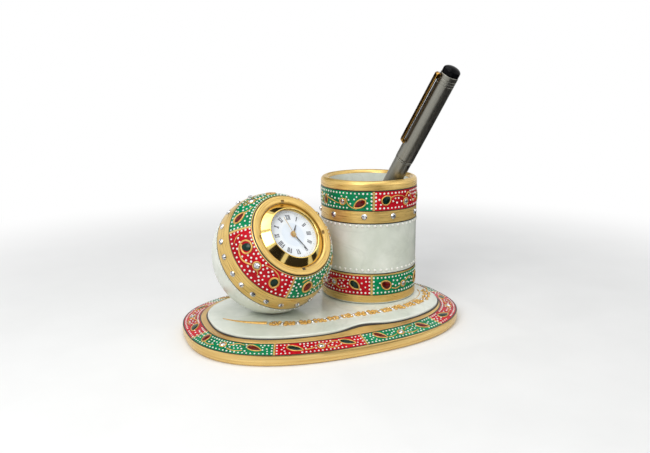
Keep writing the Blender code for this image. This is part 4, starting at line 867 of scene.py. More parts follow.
@dataclass
class Stamp:
    """A small shape that is modelled once and pressed many times into one piece."""

    corners: np.ndarray
    faces: list[tuple[int, ...]]

    @classmethod
    def from_object(cls, item: Item) -> Stamp:
        """Take the shape of an object and remove it."""
        bpy.ops.object.mode_set(mode="OBJECT")
        mesh = item.data
        corners = np.array([tuple(vertex.co) for vertex in mesh.vertices])
        faces = [tuple(face.vertices) for face in mesh.polygons]
        bpy.data.objects.remove(item)
        return cls(corners, faces)

    @classmethod
    def bead(cls) -> Stamp:
        """Model a bead of paint: a ball that is cut off below and pressed flat.

        Returns:
            The bead, with a radius of 1.
        """
        cut, flattening = -0.2, 0.72
        clear_selection()
        bpy.ops.mesh.primitive_uv_sphere_add(segments=8, ring_count=6, radius=1.0)
        item = bpy.context.object
        cut_below(cut)
        bpy.ops.mesh.select_all(action="SELECT")
        bpy.ops.transform.resize(value=(1.0, 1.0, flattening))
        return cls.from_object(item)

    @classmethod
    def gem(cls) -> Stamp:
        """Model a cut stone: a girdle, a crown of facets and a flat table.

        Returns:
            The stone, with a radius of 1.
        """
        sides, girdle, middle, crown, table = 10, 0.3, 0.05, 0.42, 0.56
        clear_selection()
        bpy.ops.mesh.primitive_cylinder_add(vertices=sides, radius=1.0, depth=girdle,
                                            location=(0.0, 0.0, middle))
        item = bpy.context.object
        bpy.ops.object.transform_apply(location=True)
        bpy.ops.object.mode_set(mode="EDIT")
        bpy.ops.mesh.select_mode(type="FACE")
        bpy.ops.mesh.select_all(action="DESELECT")
        shape = bmesh.from_edit_mesh(item.data)
        for face in shape.faces:
            face.select = face.normal.z > 0.9
        bmesh.update_edit_mesh(item.data)
        bpy.ops.mesh.extrude_region_move(TRANSFORM_OT_translate={"value": (0.0, 0.0, crown)})
        bpy.ops.transform.resize(value=(table, table, 1.0))
        bpy.ops.transform.rotate(value=math.radians(180.0 / sides), orient_axis="Z",
                                 center_override=(0.0, 0.0, 0.0))
        bpy.ops.mesh.select_all(action="SELECT")
        bpy.ops.mesh.quads_convert_to_tris()
        return cls.from_object(item)

    def press(self, seats: np.ndarray, axes: np.ndarray, sizes: np.ndarray) -> Item:
        """Press the shape at every seat.

        Args:
            seats: The points in metres.
            axes: The along, across and outward axes at each.
            sizes: The half sizes along those axes, in millimetres.

        Returns:
            One object with all of them.
        """
        placed = seats[:, None, :] + np.einsum("nc,kc,kcd->knd", self.corners, sizes * MM, axes)
        count = len(self.corners)
        faces = [tuple(count * k + i for i in face) for k in range(len(seats)) for face in self.faces]
        return raw_object(placed.reshape(-1, 3), [], faces)


def strokes(lines: list[Line]) -> Item:
    """Draw round lines through points.

    Args:
        lines: For each line its points in metres, its half width in millimetres, and whether it closes.

    Returns:
        One object with all the lines.
    """
    curve = bpy.data.curves.new("strokes", "CURVE")
    curve.dimensions = "3D"
    curve.bevel_depth, curve.bevel_resolution, curve.use_fill_caps = MM, 1, True
    for points, width, closed in lines:
        spline = curve.splines.new("POLY")
        spline.points.add(len(points) - 1)
        corners = np.column_stack((points, np.ones(len(points)))).astype(np.float32)
        widths = np.broadcast_to(np.asarray(width, float), (len(points),)).astype(np.float32)
        spline.points.foreach_set("co", corners.ravel())
        spline.points.foreach_set("radius", widths)
        spline.use_cyclic_u = closed
    item = bpy.data.objects.new("strokes", curve)
    bpy.context.scene.collection.objects.link(item)
    alone(item)
    bpy.ops.object.convert(target="MESH")
    return bpy.context.object


def rounded(points: list[Pair], pieces: int = 8) -> np.ndarray:
    """Run a smooth curve through a few points.

    Args:
        points: The places that it passes.
        pieces: How many short straights go between two of them.

    Returns:
        The curve's points, one row for each.
    """
    known = np.array([points[0], *points, points[-1]], float)
    curve = []
    for a, b, c, d in zip(known, known[1:], known[2:], known[3:]):
        for t in np.arange(pieces) / pieces:
            square = (2 * a - 5 * b + 4 * c - d) * t**2
            cube = (3 * b - a - 3 * c + d) * t**3
            curve.append(0.5 * (2 * b + (c - a) * t + square + cube))
    curve.append(known[-1])
    return np.array(curve)


class Gel(Enum):
    """The colour of a drop's filling."""

    RED = "red"
    GREEN = "green"


@dataclass(frozen=True)
class Drop:
    """A filled drop with a gold outline: its middle, half sizes, turn, how pointed it is, and its line."""

    along: float
    across: float
    length: float
    width: float
    turn: float
    point: float = 0.5
    line: float = 0.4

    def outline(self, face: Face, scale: float, steps: int = DROP_STEPS) -> tuple[np.ndarray, np.ndarray]:
        """Draw the drop's edge on a face.

        Args:
            face: The face that it lies on.
            scale: 1 for the edge of the filling, more for the outline round it.
            steps: How many points go round.

        Returns:
            The along and across numbers of the points.
        """
        angle = np.linspace(0.0, 2.0 * math.pi, steps, endpoint=False)
        x = self.length * np.cos(angle) * scale
        y = self.width * np.sin(angle) * np.abs(np.sin(angle / 2.0)) ** self.point * scale
        c, s = math.cos(math.radians(self.turn)), math.sin(math.radians(self.turn))
        unit_along, unit_across = face.units(self.across)
        return self.along + (x * c - y * s) / unit_along, self.across + (x * s + y * c) / unit_across


@dataclass(frozen=True)
class Stone:
    """A glued stone: its middle and radius."""

    along: float
    across: float
    radius: float = 1.35


@dataclass(frozen=True)
class Section:
    """One painted length of a band: its colour, drops, stones and gold tendrils."""

    start: float
    end: float
    enamel: Finish
    drops: tuple[Drop, ...] = ()
    stones: tuple[Stone, ...] = ()
    curls: tuple[tuple[Pair, ...], ...] = ()

    def moved(self, shift: float) -> Section:
        """Return the same section further along."""
        return replace(
            self, start=self.start + shift, end=self.end + shift,
            drops=tuple(replace(drop, along=drop.along + shift) for drop in self.drops),
            stones=tuple(replace(stone, along=stone.along + shift) for stone in self.stones),
            curls=tuple(tuple((along + shift, across) for along, across in curl) for curl in self.curls))

    def gel(self) -> Gel:
        """Return what its drops are filled with: the other colour than its enamel's."""
        return Gel.RED if self.enamel is GREEN else Gel.GREEN


@dataclass
class Painter:
    """Paints one face: it gathers beads, stones, lines and fillings, and lays each kind as one piece."""

    name: str
    face: Face
    bead: Stamp
    gem: Stamp
    seed: int
    dot_radius: float = 0.55
    dot_gap: float = 2.15
    dot_margin: float = 1.15
    dot_tries: int = 1400
    body: str = "stone"
    dots: list[Place] = field(default_factory=list)
    gems: list[tuple[Stone, float]] = field(default_factory=list)
    lines: list[Line] = field(default_factory=list)
    fillings: dict[Gel, list[Drop]] = field(default_factory=lambda: {gel: [] for gel in Gel})
    coats: dict[str, tuple[Finish, list[Item]]] = field(default_factory=dict)

    def coat(self, kind: str, finish: Finish, along: Pair, across: Pair, lift: float = 0.0,
             step: float = 1.0) -> None:
        """Lay a flat coat and keep it with those of its kind.

        Args:
            kind: The end of the piece's name.
            finish: The paint.
            along: Where it starts and ends along the face.
            across: Where it starts and ends across the face.
            lift: Its height, in millimetres.
            step: The longest side of a grid square, in millimetres.
        """
        layer = patch(self.face, along, across, lift, COAT_DEPTH + max(0.0, lift), step)
        self.coats.setdefault(kind, (finish, []))[1].append(layer)

    def draw(self, places: np.ndarray, half_width: Height, closed: bool = False, lift: float = 0.0) -> None:
        """Draw a gold line on the face through places given along and across."""
        self.lines.append((self.face.wrap(places[:, 0], places[:, 1], lift), half_width, closed))

    def row(self, along: Pair, across: float, gap: float, radius: float) -> None:
        """Set an even row of beads along the face."""
        span = along[1] - along[0]
        count = round(span * self.face.units(across)[0] / gap)
        self.dots += [(along[0] + span * i / count, across, radius) for i in range(count)]

    def decorate(self, section: Section, across: Pair) -> None:
        """Paint one section: enamel, drops, stones, tendrils, and beads on what is left.

        Args:
            section: What is painted.
            across: Where the band starts and ends across the face.
        """
        self.coat(section.enamel.slot, section.enamel, (section.start, section.end), across)
        taken: list[Place] = []
        for drop in section.drops:
            self.fillings[section.gel()].append(drop)
            if drop.line:
                edge = np.column_stack(drop.outline(self.face, 1.0 + drop.line / drop.width))
                self.draw(edge, drop.line, True, LINE_LIFT)
            taken.append((drop.along, drop.across, 0.5 * (drop.length + drop.width) + 2.0 * drop.line))
        for stone in section.stones:
            self.set_stone(stone, True)
            taken.append((stone.along, stone.across, RING_SCALE * stone.radius + 0.45))
        for curl in section.curls:
            path = rounded(list(curl))
            heavy, light = SWEEP if len(curl) > 9 else TENDRIL
            self.draw(path, np.linspace(heavy, light, len(path)), lift=CURL_LIFT)
            taken += [(*place, 0.35) for place in path[::3]]
        self.strew(section, across, np.array(taken))

    def strew(self, section: Section, across: Pair, taken: np.ndarray) -> None:
        """Set beads along a section's edges, and loosely over the enamel that is left.

        Args:
            section: What is painted.
            across: Where the band starts and ends across the face.
            taken: Along, across and the reach in millimetres of each thing that is already there.
        """
        unit_along, unit_across = self.face.units(sum(across) / 2.0)
        size = np.array((unit_along, unit_across))
        low = np.array((section.start, across[0]))
        centres = (taken[:, :2] - low) * size
        length, width = (np.array((section.end, across[1])) - low) * size
        margin, closest = self.dot_margin, 0.86 * self.dot_gap
        long, wide = length - 2 * margin, width - 2 * margin
        columns, rows = round(long / self.dot_gap), round(wide / self.dot_gap)
        rng = random.Random(self.seed + round(section.start))
        wanted = []
        for i in range(columns + 1):
            x = margin + long * i / columns
            wanted += [(x, margin), (x, width - margin)]
        for i in range(1, rows):
            wanted += [(x, margin + wide * i / rows) for x in (margin, length - margin)]
        wanted += [(rng.uniform(margin, length - margin), rng.uniform(margin, width - margin))
                   for _ in range(self.dot_tries)]
        kept: list[Pair] = []
        for place in wanted:
            if (np.hypot(*(centres - place).T) < taken[:, 2] + self.dot_radius).any():
                continue
            if kept and np.hypot(*(np.array(kept) - place).T).min() < closest:
                continue
            kept.append(place)
        for x, y in kept:
            radius = self.dot_radius * rng.uniform(0.86, 1.1)
            self.dots.append((section.start + x / unit_along, across[0] + y / unit_across, radius))

    def set_stone(self, stone: Stone, ringed: bool) -> None:
        """Set a stone, in a gold ring where it is on enamel."""
        self.gems.append((stone, STONE_LIFT))
        if ringed:
            ring = Drop(stone.along, stone.across, stone.radius, stone.radius, 0.0, 0.0)
            edge = np.column_stack(ring.outline(self.face, RING_SCALE, RING_STEPS))
            self.draw(edge, RING_LINE, True, LINE_LIFT)

    def filling(self, drops: list[Drop]) -> Item:
        """Pool the gel inside each drop as a low dome.

        Args:
            drops: The drops of one colour.

        Returns:
            One object with all the pools.
        """
        levels = ((1.06, -0.06), (1.06, 0.1), (0.86, 0.27), (0.5, 0.38), (0.2, 0.42))
        steps, top = DROP_STEPS, (len(levels) - 1) * DROP_STEPS
        points, faces = [], []
        for number, drop in enumerate(drops):
            first = number * len(levels) * steps
            for scale, lift in levels:
                along, across = drop.outline(self.face, scale, steps)
                points.append(self.face.wrap(along, across, lift))
            for level in range(first, first + top, steps):
                for i in range(steps):
                    a, b = level + i, level + (i + 1) % steps
                    faces.append((a, b, b + steps, a + steps))
            faces.append(tuple(range(first, first + steps))[::-1])
            faces.append(tuple(range(first + top, first + top + steps)))
        item = raw_object(np.concatenate(points), [], faces)
        right_way_out(item)
        return item

    def finish(self) -> None:
        """Lay everything that was gathered."""
        for kind, (finish, layers) in self.coats.items():
            mount(joined(layers), f"{self.name}_{kind}", finish, self.body)
        for gel, finish in ((Gel.RED, RED_GEL), (Gel.GREEN, GREEN_GEL)):
            if self.fillings[gel]:
                pools = self.filling(self.fillings[gel])
                mount(pools, f"{self.name}_{gel.value}_drops", finish, self.body, crease=POOLED)
        mount(strokes(self.lines), f"{self.name}_gold_lines", GOLD_LINE, self.body, crease=ROUND)
        table = np.array(self.dots)
        seats, axes = self.face.seats(table[:, :2])
        beads = self.bead.press(seats, axes, table[:, 2:] * (1.0, 1.0, 0.8))
        mount(beads, f"{self.name}_white_beads", DOTS, self.body, crease=ROUND)
        table = np.array([(stone.along, stone.across, stone.radius, lift) for stone, lift in self.gems])
        seats, axes = self.face.seats(table[:, :2], table[:, 3])
        gems = self.gem.press(seats, axes, np.repeat(table[:, 2:3], 3, axis=1))
        mount(gems, f"{self.name}_stones", CRYSTAL, self.body, crease=0.0)


def all_round(seen: tuple[float, ...], behind: int) -> list[float]:
    """Add evenly spaced places behind to those that are seen, all in degrees round a circle."""
    return [*seen, *np.linspace(seen[-1], seen[0] + 360.0, behind + 2)[1:-1]]


@dataclass
class Ball:
    """The marble ball with its face ring, painted quarters and stone band."""

    radius: float = 31.3
    coat: float = 0.1
    skin_end: float = 44.0
    ring_outer: float = 21.6
    ring_inner: float = 17.8
    ring_inner_height: float = 22.2
    ring_crown: float = 0.75
    ring_roundness: float = 2.6
    ring_gap: float = 0.05
    seat: float = 21.4
    pocket: float = 16.9
    pocket_floor: float = 12.0
    foot: float = 9.5
    foot_radius: float = 7.0
    notch: Place = (1.1, 0.95, 0.45)
    notch_start: float = 0.3
    painted: Pair = (44.8, 68.4)
    divider: float = 1.1
    gold_edge: Pair = (44.8, 45.5)
    liners: tuple[Pair, ...] = ((43.85, 0.95), (68.4, 0.75), (87.0, 0.75))
    stone_band: Pair = (69.1, 87.0)
    stone_row: float = 79.5
    stone_radius: float = 1.5
    stones_seen: tuple[float, ...] = (182.7, 199.9, 214.9, 229.1, 242.4, 254.9, 272.4, 287.6, 303.3, 321.0)
    stones_behind: int = 13
    bead_row: Place = (89.5, 2.9, 0.5)

    def build(self, bead: Stamp, gem: Stamp) -> None:
        """Build and paint the ball.

        Args:
            bead: The bead of paint.
            gem: The cut stone.
        """
        self.core()
        self.ring()
        self.paint(bead, gem)
        self.foot_bead()

    def core(self) -> None:
        """Turn the ball's stone, with its pocket, and cut its foot flat."""
        skin, ledge = self.radius - self.coat, self.seat - self.ring_gap
        turns = np.radians(np.linspace(180.0, self.skin_end, 96))
        profile = [(skin * math.sin(t), skin * math.cos(t)) for t in turns]
        profile[0] = (0.0, -skin)
        profile += [(self.ring_outer - 0.6, self.seat + 0.2), (self.ring_inner - 0.2, ledge),
                    (self.pocket, ledge), (self.pocket, self.pocket_floor), (0.0, self.pocket_floor)]
        item = lathe(profile, CLOCK.matrix(), 160)
        cut_below(self.foot * MM)
        right_way_out(item)
        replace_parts(mount(item, "ball_marble", MARBLE, "stone", crease=30.0), "ball_body")

    def ring_profile(self) -> list[Pair]:
        """Return the face ring's section: a crowned face that steps up towards the clock, and a flat foot."""
        outer_height = math.sqrt(self.radius**2 - self.ring_outer**2)
        middle = (self.ring_outer + self.ring_inner) / 2.0
        half = (self.ring_outer - self.ring_inner) / 2.0
        steps = 24
        profile = []
        for step in range(steps + 1):
            across = math.cos(math.pi * step / steps)
            crown = (1.0 - abs(across) ** self.ring_roundness) ** (1.0 / self.ring_roundness)
            rise = (self.ring_inner_height - outer_height) * (1.0 - across) / 2.0
            profile.append((middle + half * across, outer_height + rise + self.ring_crown * crown))
        return profile + [(self.ring_inner, self.seat), (self.ring_outer - 0.7, self.seat + 0.1)]

    def ring(self) -> None:
        """Turn the painted face ring, cut its four notches and lay painted shade on their floors, darkest in the
        bottom one.
        """
        ring = lathe(self.ring_profile(), CLOCK.matrix(), 192)
        long, wide, deep = self.notch
        reach, top = self.ring_inner + self.notch_start, self.ring_inner_height + self.ring_crown
        floors: dict[str, list[Item]] = {"brown_shade": [], "dark": []}
        for quarter in range(4):
            turn = quarter * math.pi / 2
            way = CLOCK.first * math.cos(turn) + CLOCK.second * math.sin(turn)
            place = TurnedFrame(CLOCK.centre + way * reach + CLOCK.out * top, way, np.cross(CLOCK.out, way),
                                CLOCK.out)
            self.cut_notch(ring, place)
            # Each notch floor is a thin sheet of painted shade: black in the bottom notch, dull brown gold in the
            # other three.
            flat = FlatFace(replace(place, centre=place.centre - CLOCK.out * (deep - 0.02)))
            floor = patch(flat, (-0.2, long - 0.05), (-wide + 0.05, wide - 0.05), thickness=0.2, step=0.5)
            floors["dark" if quarter == 3 else "brown_shade"].append(floor)
        mount(ring, "face_ring", GOLD, "stone", crease=40.0)
        mount(joined(floors["brown_shade"]), "notch_floor_shade", BROWN_GOLD, "stone")
        mount(joined(floors["dark"]), "bottom_notch_shade", LINER, "stone")

    def cut_notch(self, ring: Item, place: TurnedFrame) -> None:
        """Cut a square notch into the face ring at a place on its top."""
        clear_selection()
        bpy.ops.mesh.primitive_cube_add(size=2.0)
        cutter = bpy.context.object
        bpy.ops.transform.resize(value=tuple(half * MM for half in self.notch))
        bpy.ops.object.transform_apply(scale=True)
        cutter.data.transform(place.matrix())
        alone(ring)
        apply_modifier(ring, "BOOLEAN", operation="DIFFERENCE", solver="EXACT", object=cutter)
        bpy.data.objects.remove(cutter)

    def quarters(self) -> list[Section]:
        """Return the four painted quarters, as seen from the front and copied behind."""
        red = Section(200.2, 291.5, RED, drops=(
            Drop(269.4, 53.8, 2.35, 2.0, 60.0, 0.3, 0.0),
            Drop(220.0, 57.3, 2.1, 1.9, 100.0, 0.2, 0.5),
        ), stones=(Stone(246.0, 54.6, 1.55),), curls=(
            ((274.6, 57.2), (270.4, 58.6), (266.0, 58.2), (263.0, 55.8), (262.9, 51.8), (266.0, 49.2),
             (270.4, 48.6), (274.6, 50.0), (276.9, 53.2), (276.2, 57.0), (272.6, 60.2), (266.8, 62.2),
             (260.3, 62.4), (254.8, 60.4), (250.6, 57.6)),
            ((216.5, 53.0), (220.5, 49.2), (226.3, 47.4), (233.0, 47.3), (240.5, 48.6)),
            ((243.5, 57.6), (240.0, 58.4), (238.6, 60.6)),
            ((285.8, 57.0), (283.6, 60.8), (279.5, 64.0)),
        ))
        top = Section(291.5, 380.2, GREEN, drops=(
            Drop(306.9, 58.8, 2.8, 2.0, -37.0, 0.45, 0.5),
            Drop(362.0, 56.0, 2.4, 1.9, 20.0, 0.4, 0.46),
        ), stones=(Stone(332.6, 56.5, 1.55),), curls=(
            ((312.4, 55.6), (316.5, 51.4), (322.5, 49.2)),
            ((326.6, 57.6), (325.0, 60.6), (329.0, 63.4), (336.0, 62.2)),
            ((337.6, 54.0), (342.0, 50.6), (349.0, 50.4), (355.5, 53.4)),
            ((338.5, 60.0), (346.0, 63.4), (354.0, 61.0)),
        ))
        low = Section(110.2, 200.2, GREEN, drops=(
            Drop(179.8, 56.8, 2.4, 2.3, 60.0, 0.2, 0.5),
            Drop(126.0, 57.2, 2.5, 1.9, 160.0, 0.4, 0.46),
        ), stones=(Stone(151.7, 58.9, 1.55),), curls=(
            ((173.5, 59.0), (168.0, 60.6), (161.5, 59.2), (157.0, 58.0)),
            ((188.0, 51.0), (182.0, 48.6), (174.0, 48.8)),
            ((147.5, 57.4), (142.0, 53.4), (135.0, 52.4)),
            ((158.0, 62.4), (150.0, 64.0), (142.0, 62.0)),
        ))
        return [red, top, low, red.moved(-180.0)]

    def paint(self, bead: Stamp, gem: Stamp) -> None:
        """Paint the bands, liner lines, dividers, stones and beads."""
        painter = Painter("ball", BallFace(self.radius), bead, gem, 11)
        whole = (0.0, 360.0)
        for section in self.quarters():
            painter.decorate(section, self.painted)
            divider = (section.start - self.divider, section.start + self.divider)
            painter.coat("gold_dividers", GOLD, divider, self.painted, DIVIDER_LIFT)
        painter.coat("gold_band", GOLD, whole, self.stone_band)
        painter.coat("gold_dividers", GOLD, whole, self.gold_edge, 0.08, step=1.2)
        for start, width in self.liners:
            painter.coat("liner_lines", LINER, whole, (start, start + width), LINER_LIFT, step=1.2)
        for lon in all_round(self.stones_seen, self.stones_behind):
            painter.set_stone(Stone(lon, self.stone_row, self.stone_radius), False)
        painter.row(whole, *self.bead_row)
        painter.finish()

    def foot_bead(self) -> None:
        """Lay the uneven dull brown-gold bead round the ball's foot."""
        turn = np.linspace(0.0, 2.0 * math.pi, 72, endpoint=False)
        rng = random.Random(3)
        reach = np.array([self.foot_radius + rng.uniform(0.1, 0.35) for _ in turn])
        x, y = CLOCK.centre[0] + reach * np.cos(turn), CLOCK.centre[1] + reach * np.sin(turn)
        line = np.column_stack((x, y, np.full(len(turn), self.foot - 0.05))) * MM
        mount(strokes([(line, 0.3, True)]), "ball_foot_bead", BROWN_GOLD, "stone", crease=ROUND)


@dataclass
class Cup:
    """The turned marble cup with its gold lip, two painted bands and stone band."""

    wall: float = 4.3
    height: float = 66.7
    floor: float = 4.9
    foot_radius: float = 0.8
    fillet: float = 3.0
    coat: float = 0.1
    lip_start: float = 62.0
    gold: float = 0.3
    upper: Pair = (51.3, 61.4)
    lower: Pair = (5.1, 15.7)
    divider: float = 1.3
    divider_liner: float = 2.0
    gold_bands: tuple[Pair, ...] = ((44.6, 50.9), (0.8, 4.9), (15.7, 16.6))
    liners: tuple[Pair, ...] = ((4.8, 5.15), (16.6, 17.1), (44.0, 44.6), (50.85, 51.35), (61.35, 62.0))
    stone_row: float = 48.0
    stone_radius: float = 1.6
    stones_seen: tuple[float, ...] = (-160.8, -121.6, -87.7, -48.3)
    stones_behind: int = 5
    bead_rows: tuple[Place, ...] = ((18.9, 3.27, 0.8), (43.0, 3.27, 0.78))

    def build(self, bead: Stamp, gem: Stamp) -> None:
        """Build and paint the cup.

        Args:
            bead: The bead of paint.
            gem: The cut stone.
        """
        face = CupFace()
        place = Matrix.Translation(Vector((face.x, face.y, face.foot)) * MM)
        outer, lip = face.radius - self.coat, self.wall / 2.0
        inner = face.radius - self.wall
        middle, top = face.radius - lip, self.height - lip
        profile = [(0.0, 0.0)]
        profile += arc(outer - self.foot_radius, self.foot_radius, self.foot_radius, -90.0, 0.0, 6)
        profile += [(outer, height) for height in (16.0, 30.0, 44.0)]
        profile += arc(middle, top, lip - self.coat, 0.0, 150.0, 20)
        profile += [(inner, height) for height in (top, 44.0, 24.0)]
        profile += arc(inner - self.fillet, self.floor + self.fillet, self.fillet, 0.0, -90.0, 8)
        profile.append((0.0, self.floor))
        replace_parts(mount(lathe(profile, place, 144), "cup_marble", MARBLE, "stone"), "pen_cup")
        rim = [(face.radius, self.lip_start)] + arc(middle, top, lip, 0.0, 172.0, 28)
        rim += arc(middle, top, lip - self.gold, 172.0, 0.0, 20) + [(face.radius - self.gold, self.lip_start)]
        mount(lathe(rim, place, 144), "cup_gold_lip", GOLD, "stone", crease=40.0)
        self.paint(Painter("cup", face, bead, gem, 23))

    def sections(self) -> list[tuple[Section, Pair]]:
        """Return the painted sections, each with its band."""
        upper_green = Section(-201.0, -111.0, GREEN, drops=(
            Drop(-176.1, 55.6, 2.1, 1.4, 80.0, 0.5, 0.34),
            Drop(-126.9, 54.8, 2.9, 1.9, 212.0, 0.5),
        ), stones=(Stone(-147.8, 55.6, 1.35),), curls=(
            ((-171.6, 56.8), (-164.0, 56.0), (-155.5, 54.8), (-152.8, 54.6)),
            ((-144.0, 57.6), (-141.0, 54.6), (-136.8, 53.0), (-130.5, 52.0)),
            ((-188.0, 58.6), (-184.0, 55.2), (-188.0, 53.2)),
        ))
        upper_red = Section(-111.0, -21.0, RED, drops=(
            Drop(-96.3, 56.7, 2.3, 2.1, 40.0, 0.25, 0.36),
            Drop(-38.0, 56.0, 2.6, 1.8, 150.0, 0.4),
        ), stones=(Stone(-69.3, 55.1, 1.4),), curls=(
            ((-91.0, 57.9), (-84.2, 58.8), (-75.9, 58.4), (-72.0, 57.4)),
            ((-69.6, 57.6), (-65.5, 59.8), (-60.8, 58.4), (-57.4, 55.4), (-53.0, 54.2), (-48.5, 55.4)),
            ((-29.0, 58.2), (-26.4, 55.2), (-29.0, 53.0)),
        ))
        lower_red = Section(-201.0, -112.8, RED, drops=(
            Drop(-132.6, 10.5, 2.7, 1.9, -39.0, 0.35),
            Drop(-186.0, 10.4, 2.4, 1.8, 30.0, 0.4),
        ), stones=(Stone(-160.5, 10.4, 1.4),), curls=(
            ((-156.0, 12.4), (-150.0, 13.2), (-143.0, 12.8)),
            ((-157.0, 8.6), (-150.0, 7.4), (-143.0, 8.2)),
            ((-165.5, 8.8), (-171.5, 7.8), (-178.0, 9.0)),
        ))
        lower_green = Section(-112.8, -21.0, GREEN, drops=(
            Drop(-95.7, 10.4, 2.6, 2.2, 150.0, 0.3, 0.36),
            Drop(-43.0, 10.2, 2.6, 1.8, 70.0, 0.4),
        ), stones=(Stone(-71.7, 9.6, 1.3),), curls=(
            ((-88.5, 8.4), (-82.2, 7.8), (-77.0, 8.6)),
            ((-67.0, 11.0), (-61.0, 12.6), (-54.0, 12.0)),
            ((-34.0, 12.6), (-30.0, 9.8), (-33.0, 7.6)),
        ))
        placed = [(section, self.upper) for section in (upper_green, upper_red)]
        placed += [(section, self.lower) for section in (lower_red, lower_green)]
        return placed + [(section.moved(180.0), band) for section, band in placed]

    def paint(self, painter: Painter) -> None:
        """Paint the bands, liner lines, dividers, stones and beads."""
        whole = (-180.0, 180.0)
        for section, band in self.sections():
            start, end = section.start - self.divider, section.start + self.divider
            painter.decorate(section, band)
            painter.coat("gold_dividers", GOLD, (start, end), band, DIVIDER_LIFT)
            painter.coat("liner_lines", LINER, (section.start - self.divider_liner, start), band, 0.06)
        for band in self.gold_bands:
            painter.coat("gold_bands", GOLD, whole, band)
        for band in self.liners:
            painter.coat("liner_lines", LINER, whole, band, LINER_LIFT, step=1.4)
        for angle in all_round(self.stones_seen, self.stones_behind):
            painter.set_stone(Stone(angle, self.stone_row, self.stone_radius), False)
        for row in self.bead_rows:
            painter.row(whole, *row)
        painter.finish()


